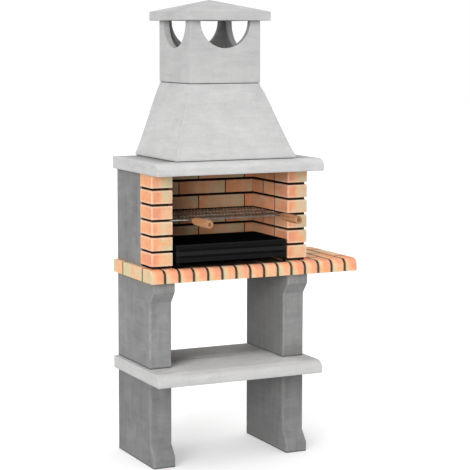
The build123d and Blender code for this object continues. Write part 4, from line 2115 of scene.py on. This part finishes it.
    def _bed(self, name: str, width: float) -> None:
        """Make one mortar bed under a casting.

        Args:
            name: The CAD node.
            width: Width of the bed along each wall.
        """
        box = node_box(name)
        rings = [self._square(box, box.low.z), self._square(box, box.high.z)]
        rings += [ring.inset(width, ring.level, False) for ring in reversed(rings)]
        piece = PieceMesh(f"{name}_pointing")
        columns = even_columns(self.bed_columns, self.band)
        piece.add_stack(rings, columns, columns, self.bed_corner_steps, closed=True)
        piece.weather(self.bed_wear)
        piece.close(self.finishes.grey_mortar, Slot.DARK_MORTAR, name)

    def build(self) -> None:
        """Make everything above the mantel."""
        self._bed("hood_mortar", self.hood_bed)
        self._hood()
        self._bed("chimney_mortar", self.chimney_bed)
        self._chimney()
        self._cap()


@dataclass
class FirePan:
    """The loose pan of black sheet steel."""

    nodes: dict[str, bpy.types.Object]
    finishes: Finishes

    def build(self) -> None:
        """Finish the tray and its feet."""
        dress(self.nodes["fire_pan_tray"], self.finishes.enamel)
        # The feet take the near-black enamel: a painted shade under the pan.
        dress(self.nodes["fire_pan_feet"], self.finishes.shaded_enamel)


@dataclass
class CookingGrate:
    """The sliding grate with its two wooden handles."""

    nodes: dict[str, bpy.types.Object]
    finishes: Finishes

    def build(self) -> None:
        """Finish the wires and the handles."""
        looks = {
            "handle_shanks": self.finishes.zinc,
            "grate_frame": self.finishes.dull,
            "grate_cross_rods": self.finishes.smoked,
            "grate_wires": self.finishes.crossed,
            "handle_washers": self.finishes.heads,
            "left_handle": self.finishes.wood,
            "right_handle": self.finishes.wood,
        }
        for name, finish in looks.items():
            dress(self.nodes[name], finish)


@dataclass(frozen=True)
class Lamp:
    """A far soft lamp: its spread in degrees, and the way to it."""

    name: str
    energy: float
    spread: float
    way: Triple

    def build(self) -> None:
        """Hang the lamp."""
        lamp = bpy.data.lights.new(self.name, "SUN")
        lamp.energy = self.energy
        lamp.angle = math.radians(self.spread)
        holder = bpy.data.objects.new(self.name, lamp)
        holder.rotation_mode = "QUATERNION"
        holder.rotation_quaternion = Vector(self.way).to_track_quat("Z", "Y")
        bpy.context.scene.collection.objects.link(holder)


@dataclass
class Studio:
    """Pale floor, soft light and the camera at the photograph's angle."""

    floor_size: float = 60.0
    zenith: float = 1.2
    horizon: float = 0.38
    ground: float = 0.55
    ground_edge: float = -0.06
    lamps: tuple[Lamp, ...] = (
        Lamp("key_lamp", 2.0, 30.0, (-0.7, -0.68, 0.2)),
        Lamp("fill_lamp", 0.2, 60.0, (0.1, -0.98, 0.15)),
    )
    camera_at: Triple = (-3.1007, -6.3089, 1.8610)
    yaw: float = 25.83
    pitch: float = 7.14
    roll: float = 0.125
    lens: float = 122.4
    sensor: float = 36.0
    shift: tuple[float, float] = (0.0031, 0.0017)
    sight: float = 200.0

    def _floor(self, scene: bpy.types.Scene) -> None:
        """Lay the floor.

        Args:
            scene: The scene.
        """
        mesh = bpy.data.meshes.new("studio_floor")
        half = self.floor_size / 2
        corners = [(-half, -half, 0.0), (half, -half, 0.0), (half, half, 0.0), (-half, half, 0.0)]
        mesh.from_pydata(corners, [], [(0, 1, 2, 3)])
        mesh.materials.append(StudioFloor().make())
        floor = bpy.data.objects.new("studio_floor", mesh)
        scene.collection.objects.link(floor)
        floor.visible_diffuse = False

    def _room(self) -> bpy.types.World:
        """Make the room: white to the camera, and brightest overhead for the light.

        Returns:
            The world.
        """
        sheet = FinishSheet(bpy.data.worlds.new("white_room"))
        way = sheet.node("ShaderNodeTexCoord", output="Generated")
        height = sheet.node("ShaderNodeSeparateXYZ", None, {0: way}, "Z")
        sky = self.horizon + (self.zenith - self.horizon) * height.over(0.0, 1.0)
        sky = sky + (self.ground - sky) * (1 - height.over(self.ground_edge, 0.0))
        seen = sheet.node("ShaderNodeLightPath", output="Is Camera Ray")
        glow = {"Color": (1.0, 1.0, 1.0), "Strength": sky + (1 - sky) * seen}
        sheet.node_out(sheet.node("ShaderNodeBackground", None, glow), "ShaderNodeOutputWorld")
        return sheet.owner

    def _camera(self, scene: bpy.types.Scene) -> None:
        """Set the camera where the photograph was taken from.

        Args:
            scene: The scene.
        """
        data = bpy.data.cameras.new("camera")
        data.sensor_width = self.sensor
        data.lens = self.lens
        data.shift_x, data.shift_y = self.shift
        data.clip_end = self.sight
        camera = bpy.data.objects.new("camera", data)
        turn = Matrix.Rotation(-math.radians(self.yaw), 4, "Z")
        tilt = Matrix.Rotation(math.radians(90 - self.pitch), 4, "X")
        roll = Matrix.Rotation(math.radians(self.roll), 4, "Z")
        camera.matrix_world = Matrix.Translation(self.camera_at) @ turn @ tilt @ roll
        scene.collection.objects.link(camera)
        scene.camera = camera

    def build(self) -> None:
        """Set up the floor, the camera, the room's light and two soft lamps at the front."""
        scene = bpy.context.scene
        scene.view_settings.view_transform = "Standard"
        self._floor(scene)
        scene.world = self._room()
        for lamp in self.lamps:
            lamp.build()
        self._camera(scene)


def main() -> None:
    """Build every sub-assembly in order."""
    logging.basicConfig(level=logging.INFO, format="%(name)s: %(message)s")
    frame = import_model()
    nodes = frame["nodes"]
    finishes = Finishes(nodes)
    chance = random.Random(DRAW_SEED)
    Studio().build()
    Legs(finishes).build()
    Slabs(finishes).build()
    Worktop(nodes, finishes, chance).build()
    Firebox(nodes, finishes, chance).build()
    HoodAndChimney(finishes).build()
    FirePan(nodes, finishes).build()
    CookingGrate(nodes, finishes).build()


if __name__ == "__main__":
    main()
